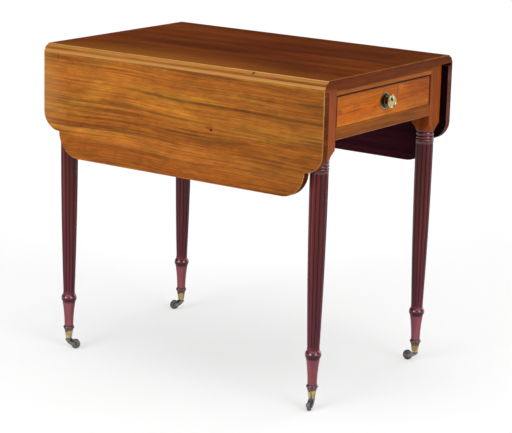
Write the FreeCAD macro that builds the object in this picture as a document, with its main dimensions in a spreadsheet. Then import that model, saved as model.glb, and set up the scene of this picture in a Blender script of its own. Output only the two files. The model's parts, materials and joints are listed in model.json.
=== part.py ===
"""Pembroke table: a small drop-leaf table on four reeded legs with brass casters.

Millimetres, +Z up. The origin is on the floor under the middle of the top.
X runs across the table (the leaves hang at -X and +X), Y along it, and the drawer opens towards -Y.
"""
import FreeCAD, Part
import math
import os
import re
import Sketcher

Vector = FreeCAD.Vector

# Driving dimensions
SIZES = {
    # Top and leaves
    "table_height": 711,
    "top_flat_width": 490,
    "top_length": 750,
    "top_thickness": 18,
    "lip": 3.5,
    "rule_radius": 10.5,
    "rule_clearance": 0.4,
    "leaf_width": 237,
    "corner_upper_round": 44,
    "corner_lower_round": 57,
    "edge_ease": 1.2,
    # Leaf hinges
    "hinge_end_distance": 105,
    "hinge_length": 38,
    "hinge_gap": 0.3,
    "barrel_radius": 3,
    "hinge_pin_radius": 1.5,
    "running_clearance": 0.05,
    "flap_thickness": 2,
    "flap_start": 4.8,
    "top_flap_reach": 32,
    "leaf_flap_reach": 45,
    "screw_radius": 1.4,
    "screw_head_radius": 2.6,
    "screw_length": 9,
    # Legs
    "end_overhang": 14,
    "block_width": 45,
    "leaf_gap": 5,
    "block_square_length": 133,
    "shoulder_length": 20,
    "shoulder_rise": 5,
    "shoulder_round": 32,
    "bead_radius": 20.7,
    "neck_radius": 18.6,
    "bead_height": 10,
    "small_bead_height": 6.5,
    "reed_cap": 3,
    "reed_cap_step": 0.5,
    "shaft_top_radius": 19.8,
    "shaft_bottom_radius": 13.1,
    "shaft_bottom_height": 133,
    "reed_depth": 1.9,
    "ring_radius": 17.6,
    "ring_height": 119.5,
    "ring_upper_half": 9,
    "ring_lower_half": 7.5,
    "ring_foot_radius": 15.2,
    "ankle_radius": 10.2,
    "collar_radius": 12.8,
    "collar_thickness": 8,
    # Frame rails and their tenons
    "rail_height": 113.5,
    "rail_thickness": 20,
    "top_rail_height": 20,
    "bottom_rail_height": 25.5,
    "front_rail_depth": 38,
    "tenon_thickness": 10,
    "tenon_inset": 6,
    "tenon_wall": 3,
    "tenon_shoulder": 4,
    "tenon_clearance": 0.15,
    # Fly rails that carry the raised leaves
    "fly_thickness": 18,
    "fly_height": 80,
    "fly_block_length": 150,
    "fly_reach": 165,
    "fly_tip_height": 26,
    "fly_shoulder_share": 0.3,
    "fly_middle_share": 0.6,
    "fly_belly_round": 50,
    "fly_hollow_round": 75,
    "fly_gap": 0.5,
    "knuckle_ease": 0.3,
    "fly_pin_radius": 2.5,
    "fly_screw_length": 30,
    # Drawer and its runners
    "drawer_gap": 1,
    "drawer_top_gap": 1.5,
    "drawer_lift": 0.3,
    "drawer_recess": 1.5,
    "drawer_back_room": 120.5,
    "front_thickness": 20,
    "front_lap": 6,
    "side_thickness": 10,
    "back_thickness": 12,
    "bottom_thickness": 6,
    "bottom_rise": 8,
    "groove_depth": 5,
    "groove_clearance": 0.1,
    "tail_height": 13,
    "tail_flare": 2.5,
    "runner_width": 30,
    "runner_height": 15,
    "stop_width": 30,
    "stop_height": 6,
    "stop_side_distance": 26,
    "glue_block": 16,
    "glue_block_length": 45,
    "top_screw_radius": 2.2,
    "top_screw_head_radius": 4.2,
    "top_screw_bite": 11,
    "kicker_screw_distance": 116,
    "top_rail_screw_distance": 91,
    # Knob
    "knob_radius": 15,
    "knob_reach": 22.7,
    "knob_disc": 8.5,
    "knob_neck_radius": 6,
    "knob_bead": 2,
    "knob_neck_round": 10,
    "knob_back_round": 3.4,
    "knob_edge_share": 0.5,
    "knob_rim_share": 0.78,
    "knob_dish_share": 0.62,
    "knob_crown_share": 0.86,
    "knob_dish_round": 15,
    "knob_crown_round": 8,
    "rosette_dome_round": 37,
    "rosette_radius": 18.5,
    "rosette_thickness": 3.2,
    "rosette_rim": 1.4,
    "knob_bolt_radius": 2.5,
    "knob_bolt_tail": 9,
    "knob_nut_width": 13,
    "knob_nut_thickness": 4,
    "bolt_clearance": 0.08,
    # Casters
    "cup_top_height": 44.5,
    "cup_bottom_height": 23,
    "cup_top_radius": 10,
    "cup_bottom_radius": 7.1,
    "cup_wall": 1.3,
    "cup_floor": 6,
    "cup_rim": 1.6,
    "cup_rim_step": 0.5,
    "cup_screw_radius": 1.8,
    "cup_screw_length": 4,
    "swivel_gap": 0.4,
    "swivel_pin_radius": 2.2,
    "swivel_pin_length": 4.6,
    "horn_disc_radius": 6,
    "horn_disc_thickness": 2.6,
    "caster_trail": 19,
    "wheel_radius": 11.25,
    "wheel_width": 8,
    "wheel_round": 1.5,
    "hub_radius": 4,
    "hub_step": 0.5,
    "cheek_gap": 0.4,
    "cheek_thickness": 1.8,
    "cheek_end_radius": 4,
    "horn_neck_length": 6,
    "horn_belly_round": 25,
    "horn_crook_round": 12,
    "axle_radius": 1.8,
    "axle_head": 0.8,
    # One length by which every cut runs past its piece
    "overrun": 2,
}

# Sizes that follow from the driving ones
DERIVED = {
    "top_underside": "table_height - top_thickness",
    "half_top": "top_length / 2",
    "hinge_place": "half_top - hinge_end_distance",
    "hinge_x": "top_flat_width / 2",
    "hinge_z": "table_height - lip - rule_radius",
    "hinge_drop": "hinge_z - top_underside",
    "leaf_face": "lip + rule_radius",
    "cove_radius": "rule_radius + rule_clearance",
    "groove_radius": "hinge_drop + hinge_gap",
    "flap_level": "flap_thickness - hinge_drop",
    "knuckle_length": "(hinge_length - 2 * hinge_gap) / 3",
    "block_outer": "hinge_x - hinge_drop - leaf_gap",
    "opening_half": "block_outer - block_width",
    "leg_x": "block_outer - block_width / 2",
    "frame_face": "half_top - end_overhang",
    "leg_y": "frame_face - block_width / 2",
    "block_inner_y": "frame_face - block_width",
    "block_bottom": "top_underside - block_square_length",
    "shoulder_bottom": "block_bottom - shoulder_length",
    "small_bead_top": "shoulder_bottom - bead_height",
    "last_bead_top": "small_bead_top - small_bead_height",
    "reed_cap_top": "last_bead_top - small_bead_height",
    "shaft_top": "reed_cap_top - reed_cap",
    "collar_top": "cup_top_height + collar_thickness",
    "ring_top": "ring_height + ring_upper_half",
    "ring_bottom": "ring_height - ring_lower_half",
    "rail_bottom": "top_underside - rail_height",
    "opening_top": "top_underside - top_rail_height",
    "opening_bottom": "rail_bottom + bottom_rail_height",
    "front_rail_back": "front_rail_depth - frame_face",
    "back_rail_front": "frame_face - rail_thickness",
    "end_tenon_length": "block_width / 2",
    "side_tenon_length": "block_width - tenon_inset - tenon_thickness - tenon_wall",
    "side_tenon_inset": "(rail_thickness - tenon_thickness) / 2",
    "fly_inner": "opening_half + rail_thickness",
    "fly_pivot_x": "fly_inner + fly_thickness / 2",
    "fly_pivot_y": "fly_block_length / 2 + fly_thickness / 2",
    "fly_knuckle": "fly_thickness / 2 - knuckle_ease",
    "fly_top": "top_underside - fly_gap",
    "fly_bottom": "fly_top - fly_height",
    "fly_finger": "fly_height / 5",
    "drawer_half": "opening_half - drawer_gap",
    "drawer_bottom_z": "opening_bottom + drawer_lift",
    "drawer_top_z": "opening_top - drawer_top_gap",
    "drawer_face": "drawer_recess - frame_face",
    "front_back": "drawer_face + front_thickness",
    "drawer_end": "back_rail_front - drawer_back_room",
    "side_start": "drawer_face + front_lap",
    "side_inner": "drawer_half - side_thickness",
    "panel_low": "drawer_bottom_z + bottom_rise",
    "panel_high": "panel_low + bottom_thickness",
    "tail_pitch": "(drawer_top_z - drawer_bottom_z) / 3",
    "knob_z": "(drawer_top_z + drawer_bottom_z) / 2",
    "runner_inner": "opening_half - runner_width",
    "glue_block_place": "runner_inner - glue_block_length",
    "stop_place": "runner_inner - stop_side_distance - stop_width / 2",
    "kicker_screw_place": "block_inner_y - kicker_screw_distance",
    "top_rail_screw_place": "opening_half - top_rail_screw_distance",
    "horn_top": "cup_bottom_height - swivel_gap",
    "horn_bottom": "horn_top - horn_disc_thickness",
    "cheek_inner": "wheel_width / 2 + cheek_gap",
    "cheek_outer": "cheek_inner + cheek_thickness",
    "spigot_bottom": "cup_bottom_height + cup_floor",
}

# Way that each caster trails at rest, in degrees from +X towards +Y
CASTER_HEADINGS = {
    "front_left": 200,
    "front_right": 88,
    "back_left": -85,
    "back_right": 160,
}
SIDES = {"left": -1, "right": 1}
ENDS = {"front": -1, "back": 1}
REED_COUNT = 12
BLOCK_FINGERS = (0, 2, 4)
BRACKET_FINGERS = (1, 3)
# Heights down the reeded shaft where its section is set, as shares of its length
SHAFT_SHARES = (0, 0.3, 0.65, 1)
# Places of the screws along a hinge flap, as shares of its reach, and across its length
FLAP_SCREW_SHARES = ((0.45, -0.3), (0.45, 0.3), (0.8, 0))

doc = FreeCAD.newDocument("pembroke_table")
sheet = doc.addObject("Spreadsheet::Sheet", "sizes")
for row, (alias, size) in enumerate({**SIZES, **DERIVED}.items(), start=1):
    sheet.set(f"A{row}", alias)
    sheet.set(f"B{row}", str(size) if alias in SIZES else "=" + size)
    sheet.setAlias(f"B{row}", alias)
doc.recompute()


def bound(text):
    """Point each size named in an expression at its cell of the sheet."""
    return re.sub(r"[a-z]\w*", lambda word: cell_of(word.group()), str(text))


def cell_of(word):
    return "sizes." + word if word in SIZES or word in DERIVED else word


def value(text):
    return float(sheet.evalExpression(bound(text)))


def bind(target, expressions):
    for path, text in expressions.items():
        target.setExpression(path, bound(text))


def at(x, y, z):
    """Expressions for an object's place."""
    return {"Placement.Base.x": x, "Placement.Base.y": y, "Placement.Base.z": z}


def box(name, corner, opposite):
    """A box between two corners, given in either order."""
    solid = doc.addObject("Part::Box", name)
    for side, axis, one, other in zip(("Length", "Width", "Height"), "xyz", corner, opposite):
        bind(solid, {side: f"abs(({one}) - ({other}))"})
        bind(solid, {"Placement.Base." + axis: f"min({one}; {other})"})
    return solid


def cylinder(name, radius, start, length, direction=(0, 0, 1)):
    solid = doc.addObject("Part::Cylinder", name)
    turn = FreeCAD.Rotation(Vector(0, 0, 1), Vector(*direction))
    solid.Placement = FreeCAD.Placement(Vector(), turn)
    bind(solid, {"Radius": radius, "Height": length, **at(*start)})
    return solid


def cone(name, radius, end_radius, start, length, direction=(0, 0, 1)):
    solid = doc.addObject("Part::Cone", name)
    turn = FreeCAD.Rotation(Vector(0, 0, 1), Vector(*direction))
    solid.Placement = FreeCAD.Placement(Vector(), turn)
    bind(solid, {"Radius1": radius, "Radius2": end_radius, "Height": length, **at(*start)})
    return solid


def fuse(name, pieces):
    joined = doc.addObject("Part::MultiFuse", name)
    joined.Shapes = pieces
    joined.Refine = True
    return joined


def cut(name, base, tools):
    result = doc.addObject("Part::Cut", name)
    result.Base = base
    result.Tool = tools[0] if len(tools) == 1 else fuse(name + "_tools", tools)
    return result


def common(name, one, other):
    result = doc.addObject("Part::Common", name)
    result.Base = one
    result.Tool = other
    return result


def mirror(name, source, normal):
    result = doc.addObject("Part::Mirroring", name)
    result.Source = source
    result.Normal = Vector(*normal)
    return result


def group(name, pieces):
    result = doc.addObject("Part::Compound", name)
    result.Links = pieces
    return result


def body(name):
    return doc.addObject("PartDesign::Body", name)


def arc_between(start, end, radius):
    """The lesser arc between two points, drawn leftwards, on the left where the radius is positive."""
    chord = end - start
    rise = math.sqrt(max(radius * radius - chord.Length ** 2 / 4, 0))
    left = Vector(-chord.y, chord.x, 0).normalize()
    turn = math.copysign(1, radius)
    centre = (start + end) * 0.5 + left * rise * turn
    middle = centre - left * abs(radius) * turn
    return Part.Arc(start, middle, end) if turn > 0 else Part.Arc(end, middle, start)


def sketch(owner, role, points):
    """A closed outline on a body's origin plane.

    Each point is (x, y), with a third item where an arc of that radius leads to the next point.
    """
    outline = owner.newObject("Sketcher::SketchObject", owner.Name + "_outline")
    plane = next(feature for feature in owner.Origin.OriginFeatures if feature.Role == role)
    outline.AttachmentSupport = [(plane, "")]
    outline.MapMode = "FlatFace"
    places = [Vector(value(point[0]), value(point[1]), 0) for point in points]
    for index, point in enumerate(points):
        start = places[index]
        end = places[(index + 1) % len(points)]
        if len(point) > 2:
            outline.addGeometry(arc_between(start, end, value(point[2])), False)
        else:
            outline.addGeometry(Part.LineSegment(start, end), False)
    ends = [edge_ends(outline, index, places) for index in range(len(points))]
    for index, point in enumerate(points):
        following = (index + 1) % len(points)
        join = Sketcher.Constraint("Coincident", index, ends[index][1], following, ends[following][0])
        outline.addConstraint(join)
    for index, point in enumerate(points):
        fix(outline, index, ends[index][0], "DistanceX", point[0], -2)
        fix(outline, index, ends[index][0], "DistanceY", point[1], -1)
        if len(point) > 2:
            radius = outline.addConstraint(Sketcher.Constraint("Radius", index, abs(value(point[2]))))
            bind(outline, {f"Constraints[{radius}]": f"abs({point[2]})"})
    return outline


def edge_ends(outline, index, places):
    """Which end of an edge, 1 or 2, is the outline's next point to start from, and which to leave by."""
    first = outline.Geometry[index].StartPoint
    start = places[index]
    end = places[(index + 1) % len(places)]
    return (1, 2) if first.distanceToPoint(start) <= first.distanceToPoint(end) else (2, 1)


def fix(outline, index, end, kind, text, axis):
    if str(text) == "0":
        outline.addConstraint(Sketcher.Constraint("PointOnObject", index, end, axis))
        return
    number = outline.addConstraint(Sketcher.Constraint(kind, index, end, value(text)))
    bind(outline, {f"Constraints[{number}]": text})


def pad(owner, outline, length, symmetric=True):
    feature = owner.newObject("PartDesign::Pad", owner.Name + "_pad")
    feature.Profile = outline
    feature.SideType = "Symmetric" if symmetric else "One side"
    bind(feature, {"Length": length})
    outline.Visibility = False
    return feature


def pocket_through(owner, outline):
    feature = owner.newObject("PartDesign::Pocket", owner.Name + "_pocket")
    feature.Profile = outline
    feature.Type = "ThroughAll"
    feature.SideType = "Symmetric"
    return feature


def revolve(owner, outline):
    """Turn an outline on an upright plane about the body's own Z axis."""
    feature = owner.newObject("PartDesign::Revolution", owner.Name + "_turning")
    feature.Profile = outline
    feature.ReferenceAxis = (outline, ["V_Axis"])
    feature.Angle = 360
    return feature


def turned(name, points):
    """A body turned about Z from (radius, height) points."""
    owner = body(name)
    revolve(owner, sketch(owner, "XZ_Plane", points))
    return owner


def lay_along(target, direction, place):
    """Point a turned piece's Z axis another way and put its origin at a place."""
    turn = FreeCAD.Rotation(Vector(0, 0, 1), Vector(*direction))
    target.Placement = FreeCAD.Placement(Vector(), turn)
    bind(target, at(*place))


def ease(owner, chosen, radius):
    """Round the edges of a board that a test chooses."""
    doc.recompute()
    shape = owner.Tip.Shape
    names = [f"Edge{number}" for number, edge in enumerate(shape.Edges, start=1) if chosen(edge)]
    feature = owner.newObject("PartDesign::Fillet", owner.Name + "_ease")
    feature.Base = (feature.BaseFeature, names)
    bind(feature, {"Radius": radius})
    return feature


nodes = {}


def node(label, solid):
    """Keep a finished piece under the name of its file."""
    solid.Label = label
    nodes[label] = solid
    return solid


def hinge_places():
    return ("-hinge_place", "0", "hinge_place")


def countersunk_screw(name, place, direction, radius, head_radius, length):
    """A wood screw whose flat head lies at a place and whose point goes in along a direction."""
    head = cone(name + "_head", head_radius, radius, place, f"{head_radius} - {radius}", direction)
    shank = cylinder(name + "_shank", radius, place, length, direction)
    return fuse(name, [head, shank])


def screw_hole(name, place, direction, radius, head_radius, length):
    """The countersunk hole that such a screw seats in."""
    sink = cone(name + "_sink", head_radius, radius, place, f"{head_radius} - {radius}", direction)
    drill = cylinder(name + "_drill", radius, place, length, direction)
    return fuse(name, [sink, drill])


# The fixed top, with the round half of a rule joint along both long edges
def make_top_board():
    board = body("top_board_body")
    round_foot = "sqrt(rule_radius * rule_radius - hinge_drop * hinge_drop)"
    half = [
        (f"hinge_x + {round_foot}", "top_underside", "rule_radius"),
        ("hinge_x", "hinge_z + rule_radius"),
        ("hinge_x", "table_height"),
    ]
    other_half = [
        ("-hinge_x", "table_height"),
        ("-hinge_x", "hinge_z + rule_radius", "rule_radius"),
        (f"-hinge_x - {round_foot}", "top_underside"),
    ]
    pad(board, sketch(board, "XZ_Plane", half + other_half), "top_length")
    tools = []
    for side_name, side in SIDES.items():
        for number, y in enumerate(hinge_places()):
            tools += hinge_recess(f"top_recess_{side_name}_{number}", side, y)
    return node("top_board", cut("top_board", board, tools))


def hinge_recess(name, side, y):
    """Room in the top's underside for one hinge: its fixed flap, its barrel and the leaf's flap."""
    low = f"{y} - hinge_length / 2 - hinge_gap"
    high = f"{y} + hinge_length / 2 + hinge_gap"
    below = "top_underside - overrun"
    flap = box(
        name + "_flap",
        (f"{side} * (hinge_x - top_flap_reach - hinge_gap)", low, below),
        (f"{side} * hinge_x", high, "hinge_z + flap_level"),
    )
    slot = box(
        name + "_slot",
        (f"{side} * hinge_x", low, below),
        (f"{side} * (hinge_x + rule_radius + overrun)", high, "hinge_z + flap_level + hinge_gap"),
    )
    barrel = cylinder(
        name + "_barrel",
        "groove_radius",
        (f"{side} * hinge_x", low, "hinge_z"),
        "hinge_length + 2 * hinge_gap",
        (0, 1, 0),
    )
    mouth = box(
        name + "_mouth",
        (f"{side} * hinge_x - groove_radius", low, below),
        (f"{side} * hinge_x + groove_radius", high, "hinge_z"),
    )
    return [flap, slot, barrel, mouth]


# One leaf, drawn raised with its hinge axis on Y, and hung by its placement
def make_leaf(side_name, side):
    leaf = body(f"leaf_{side_name}_body")
    lip_foot = "sqrt(cove_radius * cove_radius - rule_clearance * rule_clearance)"
    section = [
        ("cove_radius", "0", "cove_radius"),
        ("rule_clearance", lip_foot),
        ("rule_clearance", "leaf_face"),
        ("leaf_width", "leaf_face"),
        ("leaf_width", "-hinge_drop"),
        ("cove_radius", "-hinge_drop"),
    ]
    pad(leaf, sketch(leaf, "XZ_Plane", section), "top_length")
    for end in ENDS.values():
        pocket_through(leaf, sketch(leaf, "XY_Plane", corner_waste(end)))
    ease(leaf, on_leaf_outline, "edge_ease")
    tools = []
    for number, y in enumerate(hinge_places()):
        tools.append(box(
            f"leaf_{side_name}_recess_{number}",
            ("cove_radius - overrun", f"{y} - hinge_length / 2 - hinge_gap", "-hinge_drop - overrun"),
            ("leaf_flap_reach + hinge_gap", f"{y} + hinge_length / 2 + hinge_gap", "flap_level"),
        ))
    return node(f"leaf_{side_name}", hang(cut(f"leaf_{side_name}", leaf, tools), side))


def corner_waste(end):
    """What is sawn off one lower corner of a leaf: two quarter rounds that meet in a notch."""
    upper_end = "half_top - corner_upper_round"
    lower_start = "leaf_width - corner_lower_round"
    upper_start = "leaf_width - corner_lower_round - corner_upper_round"
    return [
        (upper_start, f"{end} * half_top", f"-{end} * corner_upper_round"),
        (lower_start, f"{end} * ({upper_end})", f"-{end} * corner_lower_round"),
        ("leaf_width", f"{end} * ({upper_end} - corner_lower_round)"),
        ("leaf_width + overrun", f"{end} * ({upper_end} - corner_lower_round)"),
        ("leaf_width + overrun", f"{end} * (half_top + overrun)"),
        (upper_start, f"{end} * (half_top + overrun)"),
    ]


def on_leaf_outline(edge):
    """True for the edges round a leaf's outer face, other than the rule joint's lip."""
    bounds = edge.BoundBox
    face = value("leaf_face")
    flat = abs(bounds.ZMin - face) + abs(bounds.ZMax - face) < value("rule_clearance") / 2
    return flat and bounds.XMax > value("cove_radius")


def hang(target, side):
    """Place a piece that is drawn on the raised leaf, hinge axis at the origin, with the leaf down."""
    drop = FreeCAD.Rotation(Vector(0, 1, 0), 90)
    turn = FreeCAD.Rotation(Vector(0, 0, 1), 0 if side > 0 else 180)
    target.Placement = FreeCAD.Placement(Vector(), turn.multiply(drop))
    bind(target, at(f"{side} * hinge_x", "0", "hinge_z"))
    return target


# Rule-joint hinges: three to a leaf, each a fixed flap, a leaf flap and a pin
def knuckle(name, y, start):
    """One knuckle of a barrel, as a plain cylinder from a place along the hinge."""
    return cylinder(name, "barrel_radius", ("0", f"{y} + {start}", "0"), "knuckle_length", (0, 1, 0))


def flap(name, y, way, reach, starts):
    """One hinge flap about an axis at the origin, reaching towards +X or -X, with its own knuckles."""
    low = f"{y} - hinge_length / 2"
    high = f"{y} + hinge_length / 2"
    plate = box(
        name + "_plate",
        (f"{way} * flap_start", low, "-hinge_drop"),
        (f"{way} * {reach}", high, "flap_level"),
    )
    pieces = [plate]
    for number, start in enumerate(starts):
        pieces.append(knuckle(f"{name}_knuckle_{number}", y, start))
        pieces.append(box(
            f"{name}_tongue_{number}",
            ("0", f"{y} + {start}", "-hinge_drop"),
            (f"{way} * (flap_start + flap_thickness)", f"{y} + {start} + knuckle_length", "flap_level"),
        ))
    bore = cylinder(
        name + "_bore",
        "hinge_pin_radius + running_clearance",
        ("0", f"{low} - overrun", "0"),
        "hinge_length + 2 * overrun",
        (0, 1, 0),
    )
    holes = [bore]
    for number, place in enumerate(flap_screw_places(y, way, reach)):
        holes.append(screw_hole(
            f"{name}_hole_{number}", place, (0, 0, 1), "screw_radius", "screw_head_radius", "screw_length"
        ))
    return cut(name, fuse(name + "_solid", pieces), holes)


def flap_screw_places(y, way, reach):
    return [
        (f"{way} * {reach} * {along}", f"{y} + hinge_length * {across}", "-hinge_drop")
        for along, across in FLAP_SCREW_SHARES
    ]


def on_top(target, side):
    """Place a hinge piece that is drawn about the axis on the fixed top."""
    turn = FreeCAD.Rotation(Vector(0, 0, 1), 0 if side > 0 else 180)
    target.Placement = FreeCAD.Placement(Vector(), turn)
    bind(target, at(f"{side} * hinge_x", "0", "hinge_z"))
    return target


def flap_screws(name, way, reach):
    return [
        countersunk_screw(
            f"{name}_{hinge}_{number}", place, (0, 0, 1), "screw_radius", "screw_head_radius", "screw_length"
        )
        for hinge, y in enumerate(hinge_places())
        for number, place in enumerate(flap_screw_places(y, way, reach))
    ]


def make_hinges():
    outer = "-hinge_length / 2"
    middle = "-knuckle_length / 2"
    last = "hinge_length / 2 - knuckle_length"
    top_flaps = []
    top_screws = []
    pins = []
    for side_name, side in SIDES.items():
        fixed = [
            flap(f"top_flap_{side_name}_{number}", y, -1, "top_flap_reach", (outer, last))
            for number, y in enumerate(hinge_places())
        ]
        top_flaps.append(on_top(group(f"top_flaps_{side_name}", fixed), side))
        screws = flap_screws(f"top_flap_screw_{side_name}", -1, "top_flap_reach")
        top_screws.append(on_top(group(f"top_flap_screws_{side_name}", screws), side))
        swinging = [
            flap(f"leaf_flap_{side_name}_{number}", y, 1, "leaf_flap_reach", (middle,))
            for number, y in enumerate(hinge_places())
        ]
        node(f"leaf_hinge_flaps_{side_name}", hang(group(f"leaf_flaps_{side_name}", swinging), side))
        screws = flap_screws(f"leaf_flap_screw_{side_name}", 1, "leaf_flap_reach")
        node(f"leaf_hinge_screws_{side_name}", hang(group(f"leaf_flap_screws_{side_name}", screws), side))
        for number, y in enumerate(hinge_places()):
            pins.append(cylinder(
                f"hinge_pin_{side_name}_{number}",
                "hinge_pin_radius",
                (f"{side} * hinge_x", f"{y} - hinge_length / 2", "hinge_z"),
                "hinge_length",
                (0, 1, 0),
            ))
    node("top_hinge_flaps", group("top_hinge_flaps", top_flaps))
    node("top_hinge_screws", group("top_hinge_screws", top_screws))
    node("leaf_hinge_pins", group("leaf_hinge_pins", pins))


# Legs: a square block, turned beads, a reeded shaft, a ring and collar, and a spigot for the caster cup
def make_leg(end_name, end, side_name, side):
    name = f"leg_{end_name}_{side_name}"
    head = common(name + "_head", turned(name + "_beads", upper_turning()), leg_block(name))
    foot = turned(name + "_foot", lower_turning())
    shaft = doc.addObject("Part::Feature", name + "_shaft")
    shaft.Shape = reeded_shaft()
    leg = fuse(name + "_whole", [head, shaft, foot])
    bind(leg, at(f"{side} * leg_x", f"{end} * leg_y", "0"))
    return node(name, cut(name, leg, mortises(name, end, side)))


def leg_block(name):
    half = "block_width / 2"
    return box(name + "_block", (f"-{half}", f"-{half}", "shaft_top"), (half, half, "top_underside"))


def bulge(chord, rise):
    """Radius of the arc that stands out by a rise over a chord."""
    return f"(({chord}) * ({chord}) / 4 + ({rise}) * ({rise})) / (2 * ({rise}))"


def sweep(run, rise):
    """Radius of the arc that leaves upright and moves sideways by a rise over a run."""
    return f"(({run}) * ({run}) + ({rise}) * ({rise})) / (2 * ({rise}))"


def upper_turning():
    """Radius and height points from the head of the reeds up to the top of the block."""
    small_bead = bulge("small_bead_height", "bead_radius - neck_radius")
    cap_radius = "shaft_top_radius + reed_cap_step"
    return [
        ("0", "top_underside"),
        ("0", "shaft_top"),
        (cap_radius, "shaft_top"),
        (cap_radius, "reed_cap_top"),
        ("neck_radius", "reed_cap_top", small_bead),
        ("neck_radius", "last_bead_top", small_bead),
        ("neck_radius", "small_bead_top", bulge("bead_height", "bead_radius - neck_radius")),
        ("neck_radius", "shoulder_bottom"),
        ("bead_radius", "shoulder_bottom", "-shoulder_round"),
        ("block_width", "block_bottom + shoulder_rise"),
        ("block_width", "top_underside"),
    ]


def reeded_shaft():
    """A loft through sections of round reeds, swelling a little on its way down to the ankle."""
    top = value("shaft_top")
    length = top - value("shaft_bottom_height")
    upper = value("shaft_top_radius")
    taper = upper - value("shaft_bottom_radius")
    wires = []
    for share in SHAFT_SHARES:
        radius = upper - taper * share ** 2
        depth = value("reed_depth") * radius / upper
        wires.append(reed_section(radius, depth, top - length * share))
    return Part.makeLoft(wires, True, False)


def reed_section(radius, depth, height):
    def place(distance, step):
        angle = 2 * math.pi * step / REED_COUNT
        return Vector(distance * math.cos(angle), distance * math.sin(angle), height)

    edges = []
    for reed in range(REED_COUNT):
        start = place(radius - depth, reed - 0.5)
        end = place(radius - depth, reed + 0.5)
        edges.append(Part.Arc(start, place(radius, reed), end).toShape())
    return Part.Wire(edges)


def lower_turning():
    """Radius and height points from the foot of the reeds down to the end of the spigot."""
    spigot_top = "cup_top_radius - cup_wall - running_clearance"
    spigot_end = "cup_bottom_radius - cup_wall - running_clearance"
    shaft_foot = "shaft_bottom_radius + reed_cap_step"
    ankle = sweep("ring_bottom - collar_top", "ring_foot_radius - ankle_radius")
    return [
        ("0", "shaft_bottom_height"),
        ("0", "spigot_bottom + running_clearance"),
        (spigot_end, "spigot_bottom + running_clearance"),
        (spigot_top, "cup_top_height"),
        ("ankle_radius", "cup_top_height", bulge("collar_thickness", "collar_radius - ankle_radius")),
        ("ankle_radius", "collar_top", f"-({ankle})"),
        ("ring_foot_radius", "ring_bottom", sweep("ring_lower_half", "ring_radius - ring_foot_radius")),
        ("ring_radius", "ring_height", sweep("ring_upper_half", f"ring_radius - ({shaft_foot})")),
        (shaft_foot, "ring_top"),
        (shaft_foot, "shaft_bottom_height"),
    ]


def mortises(name, end, side):
    """The sockets that the rails' tenons enter, a clearance larger than the tenons all round."""
    play = "tenon_clearance"
    sockets = [side_tenon(name + "_side_mortise", end, side, play)]
    if end > 0:
        sockets.append(end_tenon(name + "_end_mortise", end, side, "rail_bottom", "top_underside", play))
    else:
        sockets.append(end_tenon(name + "_top_mortise", end, side, "opening_top", "top_underside", play))
        sockets.append(end_tenon(name + "_low_mortise", end, side, "rail_bottom", "opening_bottom", play))
    return sockets


def end_tenon(name, end, side, low, high, grow):
    """A tenon of an end rail, running in X into a leg, grown by a clearance for its socket."""
    return box(
        name,
        (f"{side} * (opening_half - overrun)", f"{end} * (frame_face - tenon_inset + {grow})",
         f"{low} + tenon_shoulder - {grow}"),
        (f"{side} * (opening_half + end_tenon_length + {grow})",
         f"{end} * (frame_face - tenon_inset - tenon_thickness - {grow})",
         f"{high} - tenon_shoulder + {grow}"),
    )


def side_tenon(name, end, side, grow):
    """A tenon of a side rail, running in Y into a leg, grown by a clearance for its socket."""
    return box(
        name,
        (f"{side} * (opening_half + side_tenon_inset - {grow})", f"{end} * (block_inner_y - overrun)",
         f"rail_bottom + tenon_shoulder - {grow}"),
        (f"{side} * (opening_half + side_tenon_inset + tenon_thickness + {grow})",
         f"{end} * (block_inner_y + side_tenon_length + {grow})",
         f"top_underside - tenon_shoulder + {grow}"),
    )


# Frame rails
def make_rails():
    for side_name, side in SIDES.items():
        name = f"side_rail_{side_name}"
        plank = box(
            name + "_plank",
            (f"{side} * opening_half", "-block_inner_y", "rail_bottom"),
            (f"{side} * fly_inner", "block_inner_y", "top_underside"),
        )
        tenons = [side_tenon(f"{name}_{end_name}_tenon", end, side, "0") for end_name, end in ENDS.items()]
        node(name, fuse(name, [plank] + tenons))
    end_rail("drawer_top_rail", "-frame_face", "front_rail_back", "opening_top", "top_underside", -1)
    end_rail("drawer_bottom_rail", "-frame_face", "front_rail_back", "rail_bottom", "opening_bottom", -1)
    end_rail("back_end_rail", "frame_face", "back_rail_front", "rail_bottom", "top_underside", 1)


def end_rail(name, face, back, low, high, end):
    plank = box(name + "_plank", ("-opening_half", face, low), ("opening_half", back, high))
    tenons = [
        end_tenon(f"{name}_{side_name}_tenon", end, side, low, high, "0") for side_name, side in SIDES.items()
    ]
    solid = fuse(name + "_solid", [plank] + tenons)
    if name != "drawer_top_rail":
        return node(name, solid)
    holes = [
        screw_hole(f"{name}_hole_{side_name}", place, (0, 0, 1), "top_screw_radius + bolt_clearance",
                   "top_screw_head_radius + bolt_clearance", "top_rail_height + overrun")
        for side_name, place in top_rail_screw_places()
    ]
    return node(name, cut(name, solid, holes))


def top_rail_screw_places():
    return [
        (side_name, (f"{side} * top_rail_screw_place", "(front_rail_back - frame_face) / 2", "opening_top"))
        for side_name, side in SIDES.items()
    ]


# Fly rails: a fixed block on each side rail, and two brackets that swing out on wooden knuckles
def finger(name, level, pivot_y, towards):
    """One finger of a knuckle, counted from the bottom, round about the pivot."""
    low = f"fly_bottom + fly_finger * {level} + knuckle_ease / 2"
    height = "fly_finger - knuckle_ease"
    round_end = cylinder(name + "_round", "fly_knuckle", ("fly_pivot_x", pivot_y, low), height)
    neck_end = f"{pivot_y} + {towards} * (fly_thickness / 2 + overrun)"
    neck = box(
        name + "_neck",
        ("fly_pivot_x - fly_knuckle", pivot_y, low),
        ("fly_pivot_x + fly_knuckle", neck_end, f"{low} + {height}"),
    )
    return fuse(name, [round_end, neck])


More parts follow.
